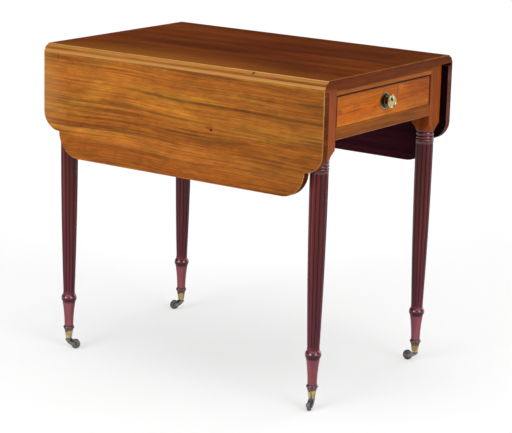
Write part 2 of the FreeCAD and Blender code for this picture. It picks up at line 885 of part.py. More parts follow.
def make_fly_rails():
    """Drawn on the right with the back bracket; the others are mirrored from it."""
    block = box(
        "fly_block_plank",
        ("fly_inner", "-fly_block_length / 2", "fly_bottom"),
        ("fly_inner + fly_thickness", "fly_block_length / 2", "fly_top"),
    )
    fingers = []
    pivots = []
    for end_name, end in ENDS.items():
        pivot_y = f"{end} * fly_pivot_y"
        for level in BLOCK_FINGERS:
            fingers.append(finger(f"fly_block_{end_name}_finger_{level}", level, pivot_y, -end))
        pivots.append(pin_bore(f"fly_block_{end_name}_bore", pivot_y))
    holes = pivots + [
        screw_hole(f"fly_block_hole_{number}", place, (-1, 0, 0), "top_screw_radius + bolt_clearance",
                   "top_screw_head_radius + bolt_clearance", "fly_thickness + overrun")
        for number, place in enumerate(fly_screw_places())
    ]
    right = node("fly_block_right", cut("fly_block_right", fuse("fly_block_solid", [block] + fingers), holes))
    node("fly_block_left", mirror("fly_block_left", right, (1, 0, 0)))
    arm = fly_arm("fly_bracket_right_back")
    node("fly_bracket_right_back", arm)
    node("fly_bracket_right_front", mirror("fly_bracket_right_front", arm, (0, 1, 0)))
    left_arm = node("fly_bracket_left_back", mirror("fly_bracket_left_back", arm, (1, 0, 0)))
    node("fly_bracket_left_front", mirror("fly_bracket_left_front", left_arm, (0, 1, 0)))
    pins = [
        cylinder(f"fly_pin_{side_name}_{end_name}", "fly_pin_radius",
                 (f"{side} * fly_pivot_x", f"{end} * fly_pivot_y", "fly_bottom"), "fly_height")
        for side_name, side in SIDES.items()
        for end_name, end in ENDS.items()
    ]
    node("fly_pins", group("fly_pins", pins))
    screws = [
        countersunk_screw(f"fly_screw_{number}", place, (-1, 0, 0), "top_screw_radius",
                          "top_screw_head_radius", "fly_screw_length")
        for number, place in enumerate(fly_screw_places())
    ]
    right_screws = group("fly_screws_right", screws)
    left_screws = mirror("fly_screws_left", right_screws, (1, 0, 0))
    node("fly_block_screws", group("fly_block_screws", [right_screws, left_screws]))


def pin_bore(name, pivot_y):
    return cylinder(
        name,
        "fly_pin_radius + running_clearance",
        ("fly_pivot_x", pivot_y, "fly_bottom - overrun"),
        "fly_height + 2 * overrun",
    )


def fly_screw_places():
    return [
        ("fly_inner + fly_thickness", f"{end} * fly_block_length / 4", "(fly_bottom + fly_top) / 2")
        for end in ENDS.values()
    ]


def fly_arm(name):
    """A bracket from its knuckle to its thin tip, with a double curve along its lower edge."""
    start = "fly_pivot_y + fly_thickness / 2"
    tip = "fly_pivot_y + fly_reach"
    middle = "fly_pivot_y + fly_reach * fly_middle_share"
    middle_z = "(fly_bottom + fly_top - fly_tip_height) / 2"
    arm = body(name + "_arm")
    outline = [
        (start, "fly_top"),
        (start, "fly_bottom"),
        ("fly_pivot_y + fly_reach * fly_shoulder_share", "fly_bottom", "fly_belly_round"),
        (middle, middle_z, "-fly_hollow_round"),
        (tip, "fly_top - fly_tip_height"),
        (tip, "fly_top"),
    ]
    pad(arm, sketch(arm, "YZ_Plane", outline), "fly_thickness - knuckle_ease")
    bind(arm, {"Placement.Base.x": "fly_pivot_x"})
    fingers = [finger(f"{name}_finger_{level}", level, "fly_pivot_y", 1) for level in BRACKET_FINGERS]
    return cut(name, fuse(name + "_solid", [arm] + fingers), [pin_bore(name + "_bore", "fly_pivot_y")])


# What carries the drawer, and what holds the top down
def make_runners():
    runners = []
    kickers = []
    screws = []
    for side_name, side in SIDES.items():
        across = (f"{side} * runner_inner", f"{side} * opening_half")
        runners.append(box(
            f"runner_{side_name}",
            (across[0], "front_rail_back", "opening_bottom - runner_height"),
            (across[1], "back_rail_front", "opening_bottom"),
        ))
        kicker = box(
            f"kicker_{side_name}_bar",
            (across[0], "front_rail_back", "opening_top"),
            (across[1], "back_rail_front", "top_underside"),
        )
        holes = []
        for end_name, end in ENDS.items():
            across_middle = f"{side} * (opening_half - runner_width / 2)"
            place = (across_middle, f"{end} * kicker_screw_place", "opening_top")
            holes.append(screw_hole(
                f"kicker_{side_name}_hole_{end_name}", place, (0, 0, 1), "top_screw_radius + bolt_clearance",
                "top_screw_head_radius + bolt_clearance", "top_rail_height + overrun",
            ))
            screws.append(top_screw(f"kicker_screw_{side_name}_{end_name}", place))
        kickers.append(cut(f"kicker_{side_name}", kicker, holes))
    for side_name, place in top_rail_screw_places():
        screws.append(top_screw(f"top_rail_screw_{side_name}", place))
    node("drawer_runners", group("drawer_runners", runners))
    node("drawer_kickers", group("drawer_kickers", kickers))
    node("top_screws", group("top_screws", screws))
    stops = [
        box(
            f"drawer_stop_{side_name}",
            (f"{side} * (stop_place - stop_width / 2)", "front_back + drawer_lift", "opening_bottom"),
            (f"{side} * (stop_place + stop_width / 2)", "front_rail_back", "opening_bottom + stop_height"),
        )
        for side_name, side in SIDES.items()
    ]
    node("drawer_stops", group("drawer_stops", stops))
    blocks = [
        box(
            f"glue_block_{number}",
            (f"{place} * glue_block_place - glue_block_length / 2", "back_rail_front - glue_block",
             "top_underside - glue_block"),
            (f"{place} * glue_block_place + glue_block_length / 2", "back_rail_front", "top_underside"),
        )
        for number, place in enumerate((-1, 0, 1))
    ]
    node("glue_blocks", group("glue_blocks", blocks))


def top_screw(name, place):
    length = "top_rail_height + top_screw_bite"
    return countersunk_screw(name, place, (0, 0, 1), "top_screw_radius", "top_screw_head_radius", length)


# Drawer: a thick front, two sides lapped into it with dovetails, a back and a grooved-in bottom
def dovetail(name, side, level, grow):
    """One tail of a drawer side, wider at its end, as it lies in the front."""
    tail = body(name)
    middle = f"drawer_bottom_z + tail_pitch * ({level} + 0.5)"
    end_half = f"tail_height / 2 + tail_flare + {grow}"
    root_half = f"tail_height / 2 + {grow}"
    outline = [
        ("front_back", f"{middle} - ({root_half})"),
        (f"side_start - {grow}", f"{middle} - ({end_half})"),
        (f"side_start - {grow}", f"{middle} + {end_half}"),
        ("front_back", f"{middle} + {root_half}"),
    ]
    pad(tail, sketch(tail, "YZ_Plane", outline), "side_thickness", False)
    bind(tail, {"Placement.Base.x": "side_inner" if side > 0 else "-drawer_half"})
    return tail


def make_drawer():
    front = box(
        "drawer_front_board",
        ("-drawer_half", "drawer_face", "drawer_bottom_z"),
        ("drawer_half", "front_back", "drawer_top_z"),
    )
    front_cuts = [box(
        "drawer_front_groove",
        ("-side_inner - groove_depth", "front_back - groove_depth - groove_clearance",
         "panel_low - groove_clearance"),
        ("side_inner + groove_depth", "front_back + overrun", "panel_high + groove_clearance"),
    )]
    front_cuts.append(cylinder(
        "drawer_front_bolt_hole", "knob_bolt_radius + bolt_clearance",
        ("0", "drawer_face - overrun", "knob_z"), "front_thickness + 2 * overrun", (0, 1, 0),
    ))
    for side_name, side in SIDES.items():
        for level in range(3):
            front_cuts.append(dovetail(f"socket_{side_name}_{level}", side, level, "groove_clearance"))
        make_drawer_side(side_name, side)
    node("drawer_front", cut("drawer_front", front, front_cuts))
    node("drawer_back", box(
        "drawer_back",
        ("-side_inner - groove_depth", "drawer_end - 2 * back_thickness", "panel_high + groove_clearance"),
        ("side_inner + groove_depth", "drawer_end - back_thickness", "drawer_top_z"),
    ))
    node("drawer_bottom", box(
        "drawer_bottom",
        ("-side_inner - groove_depth", "front_back - groove_depth", "panel_low"),
        ("side_inner + groove_depth", "drawer_end - back_thickness", "panel_high"),
    ))


def make_drawer_side(side_name, side):
    name = f"drawer_side_{side_name}"
    plank = box(
        name + "_plank",
        (f"{side} * side_inner", "front_back", "drawer_bottom_z"),
        (f"{side} * drawer_half", "drawer_end", "drawer_top_z"),
    )
    tails = [dovetail(f"tail_{side_name}_{level}", side, level, "0") for level in range(3)]
    inner = f"{side} * (side_inner - overrun)"
    seat = f"{side} * (side_inner + groove_depth + groove_clearance)"
    groove = box(
        name + "_groove",
        (inner, "front_back - front_thickness", "panel_low - groove_clearance"),
        (seat, "drawer_end + overrun", "panel_high + groove_clearance"),
    )
    housing = box(
        name + "_housing",
        (inner, "drawer_end - 2 * back_thickness - groove_clearance", "panel_high"),
        (seat, "drawer_end - back_thickness + groove_clearance", "drawer_top_z + overrun"),
    )
    node(name, cut(name, fuse(name + "_solid", [plank] + tails), [groove, housing]))


# Knob: a turned disc on a neck, over a round backplate, bolted through the drawer front
def make_knob():
    rosette = turned("knob_backplate_turning", [
        ("knob_bolt_radius + bolt_clearance", "0"),
        ("rosette_radius", "0"),
        ("rosette_radius", "rosette_rim"),
        ("rosette_radius - knob_bead", "rosette_rim", "knob_bead"),
        ("rosette_radius - 2 * knob_bead", "rosette_rim", "-rosette_dome_round"),
        ("knob_neck_radius + knob_bead", "rosette_thickness"),
        ("knob_bolt_radius + bolt_clearance", "rosette_thickness"),
    ])
    disc_low = "knob_reach - knob_disc"
    knob = turned("knob_turning", [
        ("0", "-front_thickness - knob_bolt_tail"),
        ("knob_bolt_radius", "-front_thickness - knob_bolt_tail"),
        ("knob_bolt_radius", "rosette_thickness"),
        ("knob_neck_radius + knob_bead", "rosette_thickness", "-knob_neck_round"),
        ("knob_radius - knob_bead", disc_low, "knob_back_round"),
        ("knob_radius", f"{disc_low} + knob_disc * knob_edge_share"),
        ("knob_radius - knob_bead", f"{disc_low} + knob_disc * knob_rim_share"),
        ("knob_radius - 2 * knob_bead", f"{disc_low} + knob_disc * knob_dish_share", "knob_dish_round"),
        ("knob_neck_radius", f"{disc_low} + knob_disc * knob_crown_share", "knob_crown_round"),
        ("knob_bead", "knob_reach"),
        ("0", "knob_reach"),
    ])
    nut = box(
        "knob_nut_block",
        ("-knob_nut_width / 2", "-knob_nut_width / 2", "-front_thickness - knob_nut_thickness"),
        ("knob_nut_width / 2", "knob_nut_width / 2", "-front_thickness"),
    )
    bore = cylinder(
        "knob_nut_bore", "knob_bolt_radius + running_clearance",
        ("0", "0", "-front_thickness - knob_nut_thickness - overrun"), "knob_nut_thickness + 2 * overrun",
    )
    place = ("0", "drawer_face", "knob_z")
    bored_nut = cut("knob_nut", nut, [bore])
    for label, piece in (("knob", knob), ("knob_backplate", rosette), ("knob_nut", bored_nut)):
        lay_along(piece, (0, -1, 0), place)
        node(label, piece)


# Casters: a brass cup on the leg, and a horn that swivels under it and carries the wheel on an axle
def make_caster(corner, end, side):
    leg_place = (f"{side} * leg_x", f"{end} * leg_y", "0")
    heading = FreeCAD.Rotation(Vector(0, 0, 1), CASTER_HEADINGS[corner])
    inner_top = "cup_top_radius - cup_wall"
    inner_end = "cup_bottom_radius - cup_wall"
    pin_hole = "swivel_pin_radius + running_clearance"
    rim_low = "cup_top_height - cup_rim"
    cup = turned(f"cup_{corner}", [
        (pin_hole, "cup_bottom_height"),
        ("cup_bottom_radius", "cup_bottom_height"),
        ("cup_top_radius", rim_low),
        ("cup_top_radius + cup_rim_step", rim_low, "cup_rim"),
        ("cup_top_radius", "cup_top_height"),
        (inner_top, "cup_top_height"),
        (inner_end, "spigot_bottom"),
        (pin_hole, "spigot_bottom"),
    ])
    bind(cup, at(*leg_place))
    node(f"caster_cup_{corner}", cup)
    horn = make_horn(corner)
    axle = fuse(f"axle_{corner}", axle_pieces(corner))
    wheel = turned(f"wheel_{corner}", wheel_section())
    wheel.Placement = FreeCAD.Placement(Vector(), FreeCAD.Rotation(Vector(0, 0, 1), Vector(0, 1, 0)))
    bind(wheel, at("caster_trail", "0", "wheel_radius"))
    turned_wheel = group(f"wheel_at_{corner}", [wheel])
    for label, piece in (("caster_horn", horn), ("caster_axle", axle), ("caster_wheel", turned_wheel)):
        piece.Placement = FreeCAD.Placement(Vector(), heading)
        bind(piece, at(*leg_place))
        node(f"{label}_{corner}", piece)


def make_horn(corner):
    """Drawn with its trail along +X: a disc and pivot pin, a neck, and a cheek on each side of the wheel."""
    name = f"horn_{corner}"
    pivot = turned(name + "_pivot", [
        ("0", "horn_bottom - horn_disc_thickness"),
        ("horn_disc_radius - horn_disc_thickness", "horn_bottom - horn_disc_thickness"),
        ("horn_disc_radius", "horn_bottom"),
        ("horn_disc_radius", "horn_top"),
        ("swivel_pin_radius", "horn_top"),
        ("swivel_pin_radius", "horn_top + swivel_pin_length"),
        ("0", "horn_top + swivel_pin_length"),
    ])
    plate = body(name + "_plate")
    neck = "horn_neck_length"
    low = "wheel_radius - cheek_end_radius"
    outline = [
        (f"-{neck}", "horn_bottom", "horn_belly_round"),
        ("caster_trail", low, "cheek_end_radius"),
        ("caster_trail + cheek_end_radius", "wheel_radius", "cheek_end_radius"),
        ("caster_trail", "wheel_radius + cheek_end_radius", "-horn_crook_round"),
        (neck, "horn_bottom"),
    ]
    pad(plate, sketch(plate, "XZ_Plane", outline), "2 * cheek_outer")
    room = box(
        name + "_room",
        (neck, "-cheek_inner", "-overrun"),
        ("caster_trail + cheek_end_radius + overrun", "cheek_inner", "horn_top"),
    )
    bore = cylinder(
        name + "_bore", "axle_radius + running_clearance",
        ("caster_trail", "-cheek_outer - overrun", "wheel_radius"), "2 * (cheek_outer + overrun)", (0, 1, 0),
    )
    fork = cut(name + "_fork", plate, [room, bore])
    return fuse(name, [pivot, fork])


def axle_pieces(corner):
    shaft = cylinder(
        f"axle_{corner}_shaft", "axle_radius",
        ("caster_trail", "-cheek_outer", "wheel_radius"), "2 * cheek_outer", (0, 1, 0),
    )
    heads = [
        cylinder(
            f"axle_{corner}_head_{side_name}", "axle_radius + axle_head",
            ("caster_trail", f"{side} * cheek_outer", "wheel_radius"), "axle_head", (0, side, 0),
        )
        for side_name, side in SIDES.items()
    ]
    return [shaft] + heads


def wheel_section():
    """Radius and height points of a wheel with rounded shoulders and a raised hub on each side."""
    bore = "axle_radius + running_clearance"
    rim = "wheel_width / 2 - hub_step"
    return [
        (bore, "-wheel_width / 2"),
        ("hub_radius", "-wheel_width / 2"),
        ("hub_radius", f"-({rim})"),
        ("wheel_radius - wheel_round", f"-({rim})", "wheel_round"),
        ("wheel_radius", f"-({rim}) + wheel_round"),
        ("wheel_radius", f"{rim} - wheel_round", "wheel_round"),
        ("wheel_radius - wheel_round", rim),
        ("hub_radius", rim),
        ("hub_radius", "wheel_width / 2"),
        (bore, "wheel_width / 2"),
    ]


def make_cup_screws():
    """Small screws through the rim of each cup into the leg, one on each side."""
    screws = [
        cylinder(
            f"cup_screw_{end_name}_{side_name}_{way_name}", "cup_screw_radius",
            (f"{side} * leg_x + {way} * (cup_top_radius + cup_rim_step)", f"{end} * leg_y",
             "cup_top_height - cup_rim - 2 * cup_screw_radius"),
            "cup_screw_length", (-way, 0, 0),
        )
        for end_name, end in ENDS.items()
        for side_name, side in SIDES.items()
        for way_name, way in SIDES.items()
    ]
    node("caster_cup_screws", group("caster_cup_screws", screws))


make_top_board()
for side_name, side in SIDES.items():
    make_leaf(side_name, side)
make_hinges()
for end_name, end in ENDS.items():
    for side_name, side in SIDES.items():
        make_leg(end_name, end, side_name, side)
        make_caster(f"{end_name}_{side_name}", end, side)
make_cup_screws()
make_rails()
make_fly_rails()
make_runners()
make_drawer()
make_knob()
doc.recompute()

faults = [item.Name for item in doc.Objects if "Invalid" in item.State or "Error" in item.State]
faults += [label for label, piece in nodes.items() if piece.Shape.isNull() or not piece.Shape.isValid()]
if faults:
    raise RuntimeError("failed: " + ", ".join(faults))
os.makedirs("parts", exist_ok=True)
for label, piece in nodes.items():
    piece.Shape.exportStep(f"parts/{label}.step")
    print(label, len(piece.Shape.Solids), "solids", round(piece.Shape.Volume), "mm3")
print(len(nodes), "nodes")
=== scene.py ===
# %% [markdown]
# # Dressing a pembroke table
# A pembroke table is a small table with a narrow fixed top, two hanging leaves and one drawer, made in
# mahogany and set on brass casters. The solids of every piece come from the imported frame, so this lesson
# only gives them their finish: grain, polish, eased edges, reeds, screw slots, light and a camera.
# The frame is loaded first, and its box is kept, so that we can see at the end that nothing has grown.

# %% Load the frame
import json
import math

import bmesh
import bpy
from mathutils import Matrix, Vector


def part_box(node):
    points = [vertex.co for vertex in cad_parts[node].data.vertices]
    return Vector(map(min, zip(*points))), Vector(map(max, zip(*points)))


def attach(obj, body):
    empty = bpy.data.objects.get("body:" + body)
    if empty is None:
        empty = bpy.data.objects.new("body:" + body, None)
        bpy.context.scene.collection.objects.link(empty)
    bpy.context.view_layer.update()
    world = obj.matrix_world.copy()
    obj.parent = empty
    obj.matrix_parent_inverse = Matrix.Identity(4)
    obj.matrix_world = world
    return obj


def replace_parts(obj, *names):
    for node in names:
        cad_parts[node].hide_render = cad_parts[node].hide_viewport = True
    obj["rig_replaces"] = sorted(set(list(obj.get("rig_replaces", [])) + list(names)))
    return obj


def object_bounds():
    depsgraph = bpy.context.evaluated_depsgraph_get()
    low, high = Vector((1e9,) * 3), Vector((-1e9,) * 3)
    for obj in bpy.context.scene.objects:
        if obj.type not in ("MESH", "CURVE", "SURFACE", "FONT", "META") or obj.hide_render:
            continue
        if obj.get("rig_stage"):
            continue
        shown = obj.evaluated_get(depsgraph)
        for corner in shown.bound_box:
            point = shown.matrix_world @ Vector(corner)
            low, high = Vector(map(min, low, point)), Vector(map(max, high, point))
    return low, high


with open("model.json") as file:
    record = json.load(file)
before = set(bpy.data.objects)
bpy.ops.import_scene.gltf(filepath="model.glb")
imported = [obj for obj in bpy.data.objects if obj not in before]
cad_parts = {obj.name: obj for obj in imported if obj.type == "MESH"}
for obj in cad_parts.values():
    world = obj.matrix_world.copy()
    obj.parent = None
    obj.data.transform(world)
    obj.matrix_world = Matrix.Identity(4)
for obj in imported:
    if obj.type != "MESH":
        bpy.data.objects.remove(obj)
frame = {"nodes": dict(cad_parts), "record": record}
cad_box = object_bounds()
nodes = frame["nodes"]
carrier = {
    node: body
    for body, members in frame["record"]["behaviour"]["bodies"].items()
    for node in members
}

# %% [markdown]
# ## The camera
# The table is seen from its front left, a little above the top, through a long lens, so that the lines of
# the top run almost parallel. A camera can be turned by angles, or aimed at a point and then rolled. Aiming
# is easier to read and to adjust, so we build the camera's three axes from the place it looks at.

# %% Aim the camera
eye = Vector((-3.5249, -2.4985, 1.3596))
looked_at = Vector((0.0023, -0.0309, 0.3310))
roll = math.radians(1.509)
ahead = (looked_at - eye).normalized()
level_right = ahead.cross(Vector((0, 0, 1))).normalized()
level_up = level_right.cross(ahead)
right = level_right * math.cos(roll) + level_up * math.sin(roll)
up = right.cross(ahead)
lens = bpy.data.cameras.new("view_from_front_left")
lens.lens = 137.39
lens.sensor_width = 36
camera = bpy.data.objects.new("view_from_front_left", lens)
camera.matrix_world = Matrix.Translation(eye) @ Matrix((right, up, -ahead)).transposed().to_4x4()
bpy.context.scene.collection.objects.link(camera)
bpy.context.scene.camera = camera
print("camera:", round((looked_at - eye).length, 2), "m away, lens", lens.lens, "mm")

# %% [markdown]
# ## Small helpers for the finishes
# Every finish below is a tree of shader nodes. A tree can be drawn by hand in the editor, but a script that
# wires it is easier to repeat and to change. One helper makes any node and fills its inputs. The others make
# the few kinds that all finishes use: a stretched noise, a colour ramp, a mix and a bit of arithmetic.
# Colours are written as they look on a screen, and turned into the linear light that shaders use.

# %% Helpers for nodes, places and noise
def make(tree, kind, entries=None, **settings):
    """A new node: settings are its own choices, and entries fill its inputs with values or with links."""
    node = tree.nodes.new(kind)
    for setting, choice in settings.items():
        setattr(node, setting, choice)
    for label, entry in (entries or {}).items():
        if isinstance(entry, bpy.types.NodeSocket):
            tree.links.new(entry, node.inputs[label])
        else:
            node.inputs[label].default_value = entry
    return node


def sums(tree, kind, first, second=0.0):
    return make(tree, "ShaderNodeMath", {0: first, 1: second}, operation=kind).outputs[0]


def remap(tree, factor, low, high, to_low, to_high):
    """The factor between low and high, spread smoothly over to_low to to_high."""
    return make(tree, "ShaderNodeMapRange", {
        "Value": factor, "From Min": low, "From Max": high, "To Min": to_low, "To Max": to_high,
    }, interpolation_type="SMOOTHSTEP").outputs["Result"]


def object_place(tree):
    return make(tree, "ShaderNodeTexCoord").outputs["Object"]


def coordinate(tree, axis):
    return make(tree, "ShaderNodeSeparateXYZ", {"Vector": object_place(tree)}).outputs[axis]


def swaying_place(tree, sway, cells=1.7):
    """Object coordinates that drift up and down, slowly, so that grain along a hanging leaf bends."""
    drift = make(tree, "ShaderNodeTexNoise", {"Vector": object_place(tree), "Scale": cells, "Detail": 1.0})
    return make(tree, "ShaderNodeVectorMath", {
        0: drift.outputs["Color"], 1: (0, 0, sway), 2: object_place(tree),
    }, operation="MULTIPLY_ADD").outputs["Vector"]


def stretched_noise(tree, stretch, detail, roughness, distortion, shift, place=None):
    """Noise on Object coordinates; stretch is how many noise cells go into a metre along X, Y and Z."""
    mapping = make(tree, "ShaderNodeMapping", {
        "Vector": place or object_place(tree), "Scale": stretch, "Location": shift,
    })
    return make(tree, "ShaderNodeTexNoise", {
        "Vector": mapping.outputs["Vector"], "Scale": 1.0, "Detail": detail, "Roughness": roughness,
        "Distortion": distortion,
    }).outputs["Fac"]


print("helpers: make, sums, remap, places and noise")


# %% Helpers for colour
def linear(red, green, blue):
    """A colour in steps of 0 to 255 on a screen, as linear light."""
    shares = [step / 255 for step in (red, green, blue)]
    return [s / 12.92 if s <= 0.04045 else ((s + 0.055) / 1.055) ** 2.4 for s in shares] + [1.0]


SHADER = "Principled BSDF"


def new_finish(name):
    material = bpy.data.materials.new(name)
    material.use_nodes = True
    tree = material.node_tree
    tree.nodes.clear()
    shader = make(tree, "ShaderNodeBsdfPrincipled", name=SHADER)
    make(tree, "ShaderNodeOutputMaterial", {"Surface": shader.outputs["BSDF"]})
    return material, tree, shader


def colour_ramp(tree, factor, stops):
    ramp = make(tree, "ShaderNodeValToRGB", {"Fac": factor})
    elements = ramp.color_ramp.elements
    while len(elements) < len(stops):
        elements.new(0.5)
    for element, (place, tone) in zip(elements, stops.items()):
        element.position = place
        element.color = linear(*tone)
    return ramp.outputs["Color"]


def wood_ramp(tree, factor, dark, middle, light):
    return colour_ramp(tree, factor, {0.3: dark, 0.5: middle, 0.7: light})


def mixed(tree, blend, share, first, second):
    return make(tree, "ShaderNodeMix", {
        0: share, 6: first, 7: second,
    }, data_type="RGBA", blend_type=blend).outputs[2]


def grey(tree, factor):
    """A factor as a colour, so that it can darken another colour by multiplying."""
    channels = {"Red": factor, "Green": factor, "Blue": factor}
    return make(tree, "ShaderNodeCombineColor", channels).outputs["Color"]


def recolour(material, blend, share, tone):
    """Blends a tone into the colour that a finish has so far."""
    tree = material.node_tree
    base = tree.nodes[SHADER].inputs["Base Color"]
    tree.links.new(mixed(tree, blend, share, base.links[0].from_socket, linear(*tone)), base)


print("helpers: finishes, ramps, mix, grey and recolour")

# %% [markdown]
# ## Light and floor
# The table stands on a pale floor in a studio: soft light falls from above, a wide light on the left reaches
# the leaf, a weaker one in front the drawer end, and the weakest the far side. Sun lamps with a wide angle
# give them all: such light is as soft as a large cloth screen's, and does not fade from one end of the table
# to the other. The room itself is dim above a pale band at the horizon, so polished wood seen at a low angle
# keeps its own colour. What the camera and mirror-like metal see of the floor is paler and lifted to white,
# while the light on the object stays at a level at which colours look as they are written.

# %% Lamps
scene = bpy.context.scene
scene.view_settings.view_transform = "Standard"


def sun_lamp(name, place, energy, degrees):
    """A sun that shines from a place towards the origin, as soft as its angle is wide."""
    light = bpy.data.lights.new(name, "SUN")
    light.energy = energy
    light.angle = math.radians(degrees)
    holder = bpy.data.objects.new(name, light)
    holder.location = place
    holder.rotation_euler = (-Vector(place)).to_track_quat("-Z", "Y").to_euler()
    scene.collection.objects.link(holder)


sun_lamp("skylight", (-0.7, -0.5, 4), 2.1, 88)
sun_lamp("wide_light_left", (-4, 0.6, 1.2), 2.0, 35)
sun_lamp("fill_light_front", (-0.9, -4, 1.4), 1.5, 35)
sun_lamp("weak_light_right", (4, -1.2, 1.6), 0.7, 36)

# %% Room and floor
world = bpy.data.worlds.new("dim_room")
world.use_nodes = True
room = world.node_tree
room.nodes.clear()
sight = make(room, "ShaderNodeTexCoord").outputs["Generated"]
rise = make(room, "ShaderNodeSeparateXYZ", {"Vector": sight}).outputs["Z"]
glow = make(room, "ShaderNodeBackground", {
    "Color": (1, 1, 1, 1), "Strength": remap(room, rise, 0.0, 0.06, 1.0, 0.05),
})
make(room, "ShaderNodeOutputWorld", {"Surface": glow.outputs[0]})
scene.world = world

FLOOR_REACH = 60.0
FLOOR_TONE, FLOOR_SEEN_PALER, FLOOR_LIFT = 0.4, 0.15, 0.42
floor_mesh = bpy.data.meshes.new("pale_floor")
corners = [(-1, -1), (1, -1), (1, 1), (-1, 1)]
floor_mesh.from_pydata([(x * FLOOR_REACH, y * FLOOR_REACH, 0) for x, y in corners], [], [(0, 1, 2, 3)])
floor = bpy.data.objects.new("pale_floor", floor_mesh)
scene.collection.objects.link(floor)
floor_paint = bpy.data.materials.new("pale_floor_paint")
floor_paint.use_nodes = True
paint = floor_paint.node_tree
paint.nodes.clear()
ray = make(paint, "ShaderNodeLightPath").outputs
mirrored = sums(paint, "MAXIMUM", ray["Is Glossy Ray"], ray["Is Transmission Ray"])
seen = sums(paint, "MAXIMUM", ray["Is Camera Ray"], mirrored)
tone = sums(paint, "ADD", sums(paint, "MULTIPLY", seen, FLOOR_SEEN_PALER), FLOOR_TONE)
matt = make(paint, "ShaderNodeBsdfDiffuse", {"Color": tone})
lift = make(paint, "ShaderNodeEmission", {
    "Color": (1, 1, 1, 1), "Strength": sums(paint, "MULTIPLY", seen, FLOOR_LIFT),
})
both = make(paint, "ShaderNodeAddShader", {0: matt.outputs[0], 1: lift.outputs[0]})
make(paint, "ShaderNodeOutputMaterial", {"Surface": both.outputs[0]})
floor_mesh.materials.append(floor_paint)
floor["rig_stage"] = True
print("floor:", 2 * FLOOR_REACH, "m wide, white where nothing shades it")

# %% [markdown]
# ## Mahogany
# Mahogany shows soft broad bands, long dark streaks, fine lines, short pores, a faint ripple across the grain
# and patches where its fibres catch the light, which are painted here as lighter patches, a painted sheen.
# Each of these is a noise of its own, stretched along the board, and they darken one base ramp in turn. On a
# leaf the grain also sways, and parts of it are golden. A picture of wood would be quicker, but it would
# repeat, and it would not run on round an edge as real grain does. Noise on Object coordinates cuts through
# the whole board. The pores and fine lines also lift the surface a little and vary its gloss, as they do
# under a hand-rubbed polish.

# %% Timber, one recipe for every wood
ALONG = {"x": 0, "y": 1, "z": 2}


def stretch(grain, across, along):
    scale = [across] * 3
    scale[ALONG[grain]] = along
    return scale


def timber(name, grain, tones, seed, streak=0.3, fine=0.25, pores=0.25, ripple=0.06, clouds=0.0,
           glow=0.0, gloss=0.34, spec=0.25, sway=0.0, longer=1.0, broad=1.0, gold=None):
    """Wood with its grain along one axis; tones run from the dark bands to the light ones."""
    material, tree, shader = new_finish(name)
    away = (seed * 3.1, seed * 5.7, seed * 7.3)
    swayed = swaying_place(tree, sway) if sway else None

    def noise(across, along, detail, roughness, distortion, place=swayed):
        scale = stretch(grain, across, along)
        return stretched_noise(tree, scale, detail, roughness, distortion, away, place)

    def times(first, second):
        return sums(tree, "MULTIPLY", first, second)

    colour = wood_ramp(tree, noise(22, 0.9, 4, 0.55, 0.35), *tones)
    if gold:
        gilding = remap(tree, noise(17, 2.6, 3, 0.6, 0.6), 0.48, 0.66, 0.0, 0.6)
        colour = mixed(tree, "MIX", gilding, colour, linear(*gold))
    dark_lines = remap(tree, noise(310 / broad, 3.6 / longer, 3, 0.6, 0.3), 0.36, 0.49, 1 - streak, 1.0)
    threads = noise(420, 14 / longer, 3, 0.65, 0.3)
    fine_lines = remap(tree, threads, 0.3, 0.68, 1 - fine, 1 + 0.3 * fine)
    pore_marks = remap(tree, noise(1300, 48, 1, 0.5, 0), 0.28, 0.44, 1 - pores, 1.0)
    ripples = remap(tree, noise(60, 26, 2, 0.5, 0.8, None), 0.3, 0.7, 1 - ripple, 1 + ripple)
    drifts = remap(tree, noise(6.5, 2.4, 2, 0.5, 0.3, None), 0.36, 0.62, 1 - clouds, 1.0)
    # Painted sheen: lighter patches where the fibres would catch the light.
    painted_lustre = remap(tree, noise(34, 4.4 / longer, 4, 0.62, 0.5), 0.48, 0.68, 1.0, 1 + glow)
    shade = times(times(times(times(times(dark_lines, fine_lines), pore_marks), ripples), drifts), painted_lustre)
    colour = mixed(tree, "MULTIPLY", 1.0, colour, grey(tree, shade))
    tree.links.new(colour, shader.inputs["Base Color"])
    rubbed = stretched_noise(tree, (9, 9, 9), 3, 0.6, 0, away)
    worn = remap(tree, rubbed, 0.3, 0.7, gloss - 0.02, gloss + 0.03)
    dull_threads = remap(tree, threads, 0.3, 0.6, 0.07, 0.0)
    tree.links.new(sums(tree, "ADD", worn, dull_threads), shader.inputs["Roughness"])
    relief = make(tree, "ShaderNodeBump", {
        "Strength": 0.12, "Distance": 0.0006, "Height": times(pore_marks, fine_lines),
    })
    tree.links.new(relief.outputs["Normal"], shader.inputs["Normal"])
    shader.inputs["Specular IOR Level"].default_value = spec
    return material


print("timber recipe ready")
